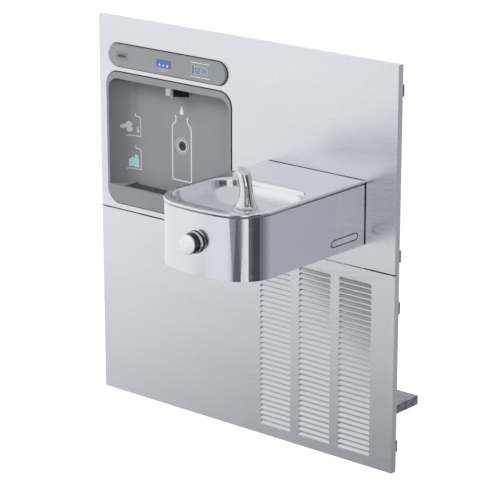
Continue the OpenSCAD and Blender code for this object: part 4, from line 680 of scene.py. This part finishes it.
def alcoveShift(x):
    # how far the round rear corner of the alcove lies in front of its flat back wall at x:
    # radius less the root of radius squared less depth into the corner squared
    r = alcove["cornerR"]
    into = np.clip(alcove["sideX"] + r - np.asarray(x, float), 0, r)
    return r - np.sqrt(r ** 2 - into ** 2)


def bendToAlcove(made):
    # each point comes forward by the shift of the back wall at its x
    place = np.empty(len(made.data.vertices) * 3)
    made.data.vertices.foreach_get("co", place)
    place = place.reshape(-1, 3)
    place[:, 1] -= alcoveShift(place[:, 0])
    made.data.vertices.foreach_set("co", place.ravel())
    made.data.update()


def finerLine(points, step, closed):
    # extra points, so that a long stroke can follow a curved wall
    points = np.asarray(points, float)
    ends = np.vstack([points, points[:1]]) if closed else points
    parts = []
    for a, b in zip(ends[:-1], ends[1:]):
        count = max(1, int(np.ceil(np.linalg.norm(b - a) / step)))
        parts.append(a + (b - a) * (np.arange(count)[:, None] / count))
    return np.vstack(parts if closed else parts + [ends[-1:]])


def strokeMark(name, points, width, y, finish, closed=False, thick=0.0003, curved=False):
    # a line in X and Z given its width and thickness: four points for each point of the line
    if curved:
        points = finerLine(points, alcove["strokeStep"], closed)
    edgeA, edgeB = flatRibbon(points, width, closed)
    n = len(points)
    rings = [np.stack([edge[:, 0], np.full(n, depth), edge[:, 1]], -1)
             for edge, depth in ((edgeA, y), (edgeA, y - thick), (edgeB, y - thick), (edgeB, y))]
    made = meshPiece(name, np.stack(rings, 1).reshape(-1, 3), tubeFaces(n, closed), finish, False)
    mendNormals(made)
    if curved:
        bendToAlcove(made)
    return made


def filledMark(name, outline, y, finish, thick=0.0003, curved=False):
    # a closed outline in X and Z, filled by rings drawn in to its middle, as a thin plate at the plane y
    outline = finerLine(outline, alcove["fillStep"], True) if curved else np.asarray(outline, float)
    n = len(outline)
    middle = outline.mean(0)
    shares = (1.0, 0.75, 0.5, 0.25, 0.001) if curved else (1.0, 0.001)
    flat = np.concatenate([middle + (outline - middle) * share for share in shares])
    back = np.stack([flat[:, 0], np.full(len(flat), y), flat[:, 1]], -1)
    front = back - np.array([0, thick, 0])
    rings = gridFaces(len(shares), n, True)
    i = np.arange(n)
    rim = np.stack([i, (i + 1) % n, (i + 1) % n + len(flat), i + len(flat)], -1)
    faces = np.vstack([rings, rings[:, ::-1] + len(flat), rim])
    made = meshPiece(name, np.vstack([back, front]), faces, finish, False)
    mendNormals(made, 1e-5)
    if curved:
        bendToAlcove(made)
    return made


def ringPoints(x, z, rx, rz, steps=48, start=0, stop=360):
    # middle plus half width times cosine and half height times sine
    turn = np.radians(np.linspace(start, stop, steps, endpoint=stop - start < 360))
    return np.stack([x + rx * np.cos(turn), z + rz * np.sin(turn)], -1)


def pillPoints(x, z, w, h, steps=16):
    # a half circle of half the height at each end of the width
    r = h / 2
    return np.concatenate([ringPoints(x + w / 2 - r, z, r, r, steps, -90, 90),
                           ringPoints(x - w / 2 + r, z, r, r, steps, 90, 270)])


def dropPoints(x, top, low, r):
    # a drop: a circle whose upper half is drawn up into a point
    turn = np.radians(np.linspace(-200, 20, 24))
    circle = np.stack([x + r * np.cos(turn), low + r + r * np.sin(turn)], -1)
    return np.vstack([circle, [[x, top]]])


sensorLow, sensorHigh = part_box("bottle_sensor")
bottle = {"x": -0.2465, "half": 0.0325, "low": 0.6040, "shoulder": 0.7445, "neckLow": 0.7600, "neckHalf": 0.0195,
          "top": 0.7740, "line": 0.0030, "cornerR": 0.004, "flare": 0.003, "ease": 0.002, "dropTop": 0.8035,
          "dropLow": 0.7790, "dropR": 0.0062, "wallY": alcove["wallY"]}


def makeBottle(look):
    # open bottle: left side, round bottom corners, the left side mirrored, and a drop over it
    x, half, neck, r = look["x"], look["half"], look["neckHalf"], look["cornerR"]
    flare, ease = look["flare"], look["ease"]
    left = [[x - neck - flare, look["top"] + ease / 2], [x - neck, look["top"] - 2 * ease],
            [x - neck, look["neckLow"] + flare], [x - neck - ease, look["neckLow"] - ease],
            [x - half + flare, look["shoulder"] + 2 * flare], [x - half, look["shoulder"]]]
    low = np.concatenate([ringPoints(x - half + r, look["low"] + r, r, r, 6, 180, 270),
                          ringPoints(x + half - r, look["low"] + r, r, r, 6, 270, 359.9)])
    right = [[2 * x - px, pz] for px, pz in left[::-1]]
    strokeMark("bottleLine", np.vstack([left, low, right]), look["line"], look["wallY"], "whiteInk")
    filledMark("bottleDrop", dropPoints(x, look["dropTop"], look["dropLow"], look["dropR"]), look["wallY"],
               "whiteInk")


makeBottle(bottle)
target = {"x": -0.2455, "z": (sensorLow.z + sensorHigh.z) / 2, "rings": ((0.0215, 0.0020), (0.0150, 0.0042)),
          "rimY": sensorLow.y + 0.0002,
          "rim": [[0.0095, 0.0002], [0.0095, -0.0010], [0.0075, -0.0010], [0.0070, 0.0002]]}
for number, (radius, width) in enumerate(target["rings"]):
    strokeMark(f"targetRing{number}", ringPoints(target["x"], target["z"], radius, radius), width,
               bottle["wallY"], "ringInk", True)
turnedPiece("targetRim", [target["x"], target["rimY"], target["z"]], "Y", target["rim"], "grilleGrey", 48)

tap = {"right": -0.3905, "left": -0.4340, "hookX": -0.4085, "line": 0.0026, "hookTop": 0.009, "hookLow": 0.001,
       "bend": 0.003, "bendDrop": 0.004, "baseDrop": 0.001}


def tapFrame(name, top, low, finish):
    # a tap over an open cup stand: hook, upright and base
    right, hook = tap["right"], tap["hookX"]
    strokeMark(name, [[hook, top + tap["hookTop"]], [hook, top + tap["hookLow"]], [right - tap["bend"], top],
                      [right, top - tap["bendDrop"]], [right, low], [tap["left"], low - tap["baseDrop"]]],
               tap["line"], bottle["wallY"], finish, curved=True)


tapFrame("tapFrameHigh", 0.7505, 0.6985, "creamInk")
tapFrame("tapFrameLow", 0.6640, 0.6090, "creamInk")
washLift = 0.0001  # each disc stands this much in front of the one before
wash = ((-0.4385, 0.7225, 0.0060), (-0.4270, 0.7275, 0.0082), (-0.4255, 0.7145, 0.0078))
for number, (x, z, r) in enumerate(wash):
    filledMark(f"washDisc{number}", ringPoints(x, z, r, r, 24), bottle["wallY"] - washLift * number, "creamInk",
               curved=True)
filledMark("washDrop", dropPoints(-0.4005, 0.7245, 0.7075, 0.0040), bottle["wallY"], "creamInk", curved=True)
cup = {"body": [[-0.4290, 0.6330], [-0.4170, 0.6400], [-0.4130, 0.6360], [-0.3985, 0.6360], [-0.3985, 0.6130],
                [-0.4130, 0.6130], [-0.4170, 0.6160], [-0.4290, 0.6130]],
       "neck": [[-0.4130, 0.6365], [-0.4010, 0.6365], [-0.4030, 0.6470], [-0.4130, 0.6470]]}
filledMark("fillCup", cup["body"], bottle["wallY"], "cyanInk", curved=True)
filledMark("fillCupNeck", cup["neck"], bottle["wallY"], "cyanInk", curved=True)
print("alcove marks made")


blueLow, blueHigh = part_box("status_window")
lcdLow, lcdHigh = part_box("display_window")
lensLow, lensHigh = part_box("strip_sensor_lens")
segments = {"a": ((0, 1), (1, 1)), "b": ((1, 1), (1, 0.5)), "c": ((1, 0.5), (1, 0)), "d": ((1, 0), (0, 0)),
            "e": ((0, 0), (0, 0.5)), "f": ((0, 0.5), (0, 1)), "g": ((0, 0.5), (1, 0.5))}
digits = {"0": "abcdef", "2": "abged", "4": "fgbc", "7": "abc"}


def sevenSegments(text, x, z, w, h, step, y):
    # digits as strokes along two stacked squares, each a tenth shorter at both ends
    for place, digit in enumerate(text):
        for part in digits[digit]:
            (x0, z0), (x1, z1) = segments[part]
            start = np.array([x + place * step + x0 * w, z + z0 * h])
            stop = np.array([x + place * step + x1 * w, z + z1 * h])
            inset = (stop - start) * 0.1
            strokeMark(f"digit{place}{part}", [start + inset, stop - inset], w * 0.2, y, "darkInk", thick=0.0002)


display = {"digits": "0274", "fromX": 0.0165, "fromZ": 0.0080, "w": 0.0055, "h": 0.0120, "step": 0.0092,
           "barX": 0.0085, "barEnd": 0.0050, "barW": 0.0036, "ruleOff": 0.0030, "ruleOver": 0.001, "ruleW": 0.0016}
sevenSegments(display["digits"], lcdLow.x + display["fromX"], lcdLow.z + display["fromZ"], display["w"],
              display["h"], display["step"], lcdLow.y)
barX = lcdLow.x + display["barX"]
strokeMark("displayBar", [[barX, lcdLow.z + display["barEnd"]], [barX, lcdHigh.z - display["barEnd"]]],
           display["barW"], lcdLow.y, "displayInk")
stripLow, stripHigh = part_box("strip_bezel")
for number, z in enumerate((lcdHigh.z + display["ruleOff"], lcdLow.z - display["ruleOff"])):
    strokeMark(f"displayRule{number}", [[lcdLow.x - display["ruleOver"], z], [lcdHigh.x + display["ruleOver"], z]],
               display["ruleW"], stripLow.y, "whiteInk")

status = {"drops": 3, "dropTop": 0.0115, "dropLow": 0.0040, "dropR": 0.0026, "rules": (0.030, 0.022),
          "ruleOff": 0.0035, "ruleStep": 0.0045, "ruleW": 0.0013}
for number in range(status["drops"]):
    middle = blueLow.x + (number + 1) * (blueHigh.x - blueLow.x) / (status["drops"] + 1)
    outline = dropPoints(middle, blueLow.z + status["dropTop"], blueLow.z + status["dropLow"], status["dropR"])
    filledMark(f"statusDrop{number}", outline, blueLow.y, "whiteInk")
blueX = (blueLow.x + blueHigh.x) / 2
for number, w in enumerate(status["rules"]):
    z = blueLow.z - status["ruleOff"] - number * status["ruleStep"]
    strokeMark(f"statusRule{number}", [[blueX - w / 2, z], [blueX + w / 2, z]], status["ruleW"], stripLow.y,
               "ringInk")

lens = {"x": (lensLow.x + lensHigh.x) / 2, "z": (lensLow.z + lensHigh.z) / 2, "markX": -0.002, "markZ": 0.0005,
        "markW": 0.024, "markH": 0.0085, "dotX": 0.0120, "dotR": 0.0022, "dotLift": 0.0003}
lensOutline = pillPoints(lens["x"] + lens["markX"], lens["z"] + lens["markZ"], lens["markW"], lens["markH"])
filledMark("lensMark", lensOutline, lensLow.y, "grilleGrey")
filledMark("lensDot", ringPoints(lens["x"] + lens["dotX"], lens["z"], lens["dotR"], lens["dotR"], 24),
           lensLow.y - lens["dotLift"], "darkInk")

shadeStrokes = {"thick": 0.0006, "stripW": 0.0024, "alcoveW": 0.0026, "alcoveR": 0.038, "fountainW": 0.0022,
         "fountainR": 0.004, "seamW": 0.0024, "seamDepth": 0.0004, "seamEnd": 0.0005}


def shadeGapLine(name, low, high, cornerR, y, width):
    # black line in the seam between a moulding and the panel: painted shade standing for the shadow gap there
    middle = ((low.x + high.x) / 2, (low.z + high.z) / 2)
    half = ((high.x - low.x) / 2, (high.z - low.z) / 2)
    outline = roundedBox(middle, half, cornerR, width / 2, 16)
    strokeMark(name, outline, width, y, "rubberAndShadeBlack", True, shadeStrokes["thick"])


panelLow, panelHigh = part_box("upper_panel")
fountainLow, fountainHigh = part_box("apron")
stripEndR = (stripHigh.z - stripLow.z) / 2 - 0.0001
shadeGapLine("stripShadeLine", stripLow, stripHigh, stripEndR, panelLow.y, shadeStrokes["stripW"])
shadeGapLine("alcoveShadeLine", alcoveLow, alcoveHigh, shadeStrokes["alcoveR"], panelLow.y, shadeStrokes["alcoveW"])
shadeGapLine("fountainShadeLine", fountainLow, fountainHigh, shadeStrokes["fountainR"], panelLow.y, shadeStrokes["fountainW"])
# dark strips in the panel seam: painted shade for the shadow in the gap
for side, fromX, toX in (("Left", panelLow.x, fountainLow.x), ("Right", fountainHigh.x, panelHigh.x)):
    seam = [[fromX + shadeStrokes["seamEnd"], panelLow.z], [toX - shadeStrokes["seamEnd"], panelLow.z]]
    strokeMark("seamShade" + side, seam, shadeStrokes["seamW"], panelLow.y + shadeStrokes["seamDepth"], "rubberAndShadeBlack",
               thick=shadeStrokes["thick"])
print("strip marks made")


badgeLow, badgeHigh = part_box("side_badge")
badge = {"inset": 0.0045, "line": 0.0026, "lift": 0.0002}


def makeBadge(look, low, high):
    # dark inlaid line inside the rim of the bare badge, on its outer face
    y, z = (low.y + high.y) / 2, (low.z + high.z) / 2
    outline = pillPoints(y, z, high.y - low.y - look["inset"], high.z - low.z - look["inset"], 24)
    edgeA, edgeB = flatRibbon(outline, look["line"], True)
    n = len(outline)
    face = high.x + look["lift"]
    rings = [np.stack([np.full(n, x), edge[:, 0], edge[:, 1]], -1)
             for x, edge in ((high.x, edgeA), (face, edgeA), (face, edgeB), (high.x, edgeB))]
    points = np.stack(rings, 1).reshape(-1, 3)
    mendNormals(meshPiece("badgeLine", points, tubeFaces(n, True), "darkInk", False))


makeBadge(badge, badgeLow, badgeHigh)
print("badge made")


studio = {"floorZ": -0.9, "floorR": 24.0, "rampStart": -0.6, "rampStop": -3.2, "darkTone": 0.17, "lightTone": 1.0,
          "floorGlow": 0.87, "floorPaint": "#969696", "ambient": 0.62, "ceilingStart": 0.34, "ceilingStop": 0.62,
          "ceilingTone": 0.68}


def makeFloor(look):
    # round floor: white with the shadow to the camera, and darker to the right in mirrors
    turn = np.linspace(0, 2 * np.pi, 64, endpoint=False)
    ring = np.stack([look["floorR"] * np.cos(turn), look["floorR"] * np.sin(turn), np.full(64, look["floorZ"])], -1)
    mesh = bpy.data.meshes.new("floor")
    mesh.from_pydata(ring.tolist(), [], [list(range(64))])
    made = linkObject("floor", mesh)
    material, tree, place = startMaterial("paleFloor")
    across = addNode(tree, "ShaderNodeSeparateXYZ", {"Vector": place})
    ramp = addNode(tree, "ShaderNodeMapRange", {0: across, 1: look["rampStart"], 2: look["rampStop"],
                                                3: look["darkTone"], 4: look["lightTone"]})
    bounce = addNode(tree, "ShaderNodeEmission", {"Strength": ramp})
    white = addNode(tree, "ShaderNodeEmission", {"Strength": look["floorGlow"]})
    paint = addNode(tree, "ShaderNodeBsdfDiffuse", {"Color": linearColour(look["floorPaint"])})
    seen = addNode(tree, "ShaderNodeAddShader", {0: white, 1: paint})
    lightPath = addNode(tree, "ShaderNodeLightPath")
    both = addNode(tree, "ShaderNodeMixShader", {0: lightPath.outputs["Is Camera Ray"], 1: bounce,
                                                 2: seen})
    closeMaterial(tree, both)
    made.data.materials.append(material)


def makeWorld(look):
    # white to the camera, softer as a light; in mirrors white all round and greyer towards the ceiling
    world = bpy.data.worlds.new("studioWorld")
    bpy.context.scene.world = world
    world.use_nodes = True
    tree = world.node_tree
    tree.nodes.clear()
    lightPath = addNode(tree, "ShaderNodeLightPath")
    mirrored = addNode(tree, "ShaderNodeMath", {0: lightPath.outputs["Is Glossy Ray"],
                                                1: lightPath.outputs["Is Transmission Ray"]}, operation="MAXIMUM")
    direction = addNode(tree, "ShaderNodeTexCoord")
    height = addNode(tree, "ShaderNodeSeparateXYZ", {"Vector": direction.outputs["Generated"]})
    ceiling = addNode(tree, "ShaderNodeMapRange", {0: height.outputs[2], 1: look["ceilingStart"],
                                                   2: look["ceilingStop"], 3: 1.0, 4: look["ceilingTone"]})
    dimmed = addNode(tree, "ShaderNodeMapRange", {0: mirrored, 3: look["ambient"], 4: ceiling})
    level = addNode(tree, "ShaderNodeMapRange", {0: lightPath.outputs["Is Camera Ray"], 3: dimmed, 4: 1.0})
    shine = addNode(tree, "ShaderNodeBackground", {"Color": linearColour("#ffffff"), "Strength": level})
    addNode(tree, "ShaderNodeOutputWorld", {"Surface": shine})


def softLamp(name, place, aim, size, power):
    # an area lamp turned to its aim, which mirrors don't see
    data = bpy.data.lights.new(name, "AREA")
    data.shape = "RECTANGLE"
    data.size, data.size_y = size
    data.energy = power
    made = linkObject(name, data)
    made.location = place
    made.rotation_euler = (Vector(aim) - Vector(place)).to_track_quat("-Z", "Y").to_euler()
    made.visible_glossy = False


cards = {"centre": (0.3, -0.36), "reach": 2.6, "low": -0.9, "high": 2.4, "steps": 12}


def studioFlag(name, fromTurn, toTurn, tone):
    # an upright curved card that only mirrors see; turns run from the front towards the right side
    steps = cards["steps"]
    turn = np.radians(np.linspace(fromTurn, toTurn, steps))
    base = np.array(cards["centre"]) + cards["reach"] * np.stack([np.sin(turn), -np.cos(turn)], -1)
    points = np.concatenate([np.column_stack([base, np.full(steps, z)]) for z in (cards["low"], cards["high"])])
    mesh = bpy.data.meshes.new(name)
    mesh.from_pydata(points.tolist(), [], gridFaces(2, steps, False).tolist())
    made = linkObject(name, mesh)
    material, tree, place = startMaterial(name + "Card")
    closeMaterial(tree, addNode(tree, "ShaderNodeEmission", {"Color": linearColour(tone), "Strength": 1.0}))
    mesh.materials.append(material)
    made.visible_camera = False
    made.visible_diffuse = False
    made.visible_shadow = False
    made.visible_transmission = False


makeFloor(studio)
makeWorld(studio)
# name, place, aim, size in metres, watts
lamps = [("keyLamp", (-2.6, -3.2, 3.4), (0, -0.1, 0.6), (2.2, 1.6), 90),
         ("fillLamp", (3.0, -2.6, 2.2), (0.1, 0, 0.6), (1.8, 1.8), 22),
         ("backLamp", (1.4, 3.6, 2.4), (0, 0.15, 0.5), (2.4, 1.8), 60)]
for lamp in lamps:
    softLamp(*lamp)
# name, first and last turn in degrees, tone
flags = [("flagFront", -34, 6, "#f4f5f8"), ("flagSoft", 8, 18, "#9a9ba2"), ("flagNear", 19, 37, "#5e5f66"),
         ("flagBright", 39, 59, "#ffffff"), ("flagFar", 62, 98, "#4a4951"), ("flagEdge", 99, 120, "#8f9097"),
         ("flagSide", 121, 150, "#b8b9c0")]
for flag in flags:
    studioFlag(*flag)

view = {"place": (3.5465, -4.1688, 2.1462), "yaw": 40.271, "pitch": 16.989, "focalPx": 2265.4, "framePx": 500,
        "sensor": 36.0}
cameraData = bpy.data.cameras.new("photoCamera")
cameraData.sensor_width = view["sensor"]
cameraData.lens = view["focalPx"] / view["framePx"] * view["sensor"]
photoCamera = linkObject("photoCamera", cameraData)
photoCamera.location = view["place"]
photoCamera.rotation_euler = (math.radians(90 - view["pitch"]), 0, math.radians(view["yaw"]))
bpy.context.scene.camera = photoCamera
bpy.context.scene.view_settings.view_transform = "Standard"
print("studio made")
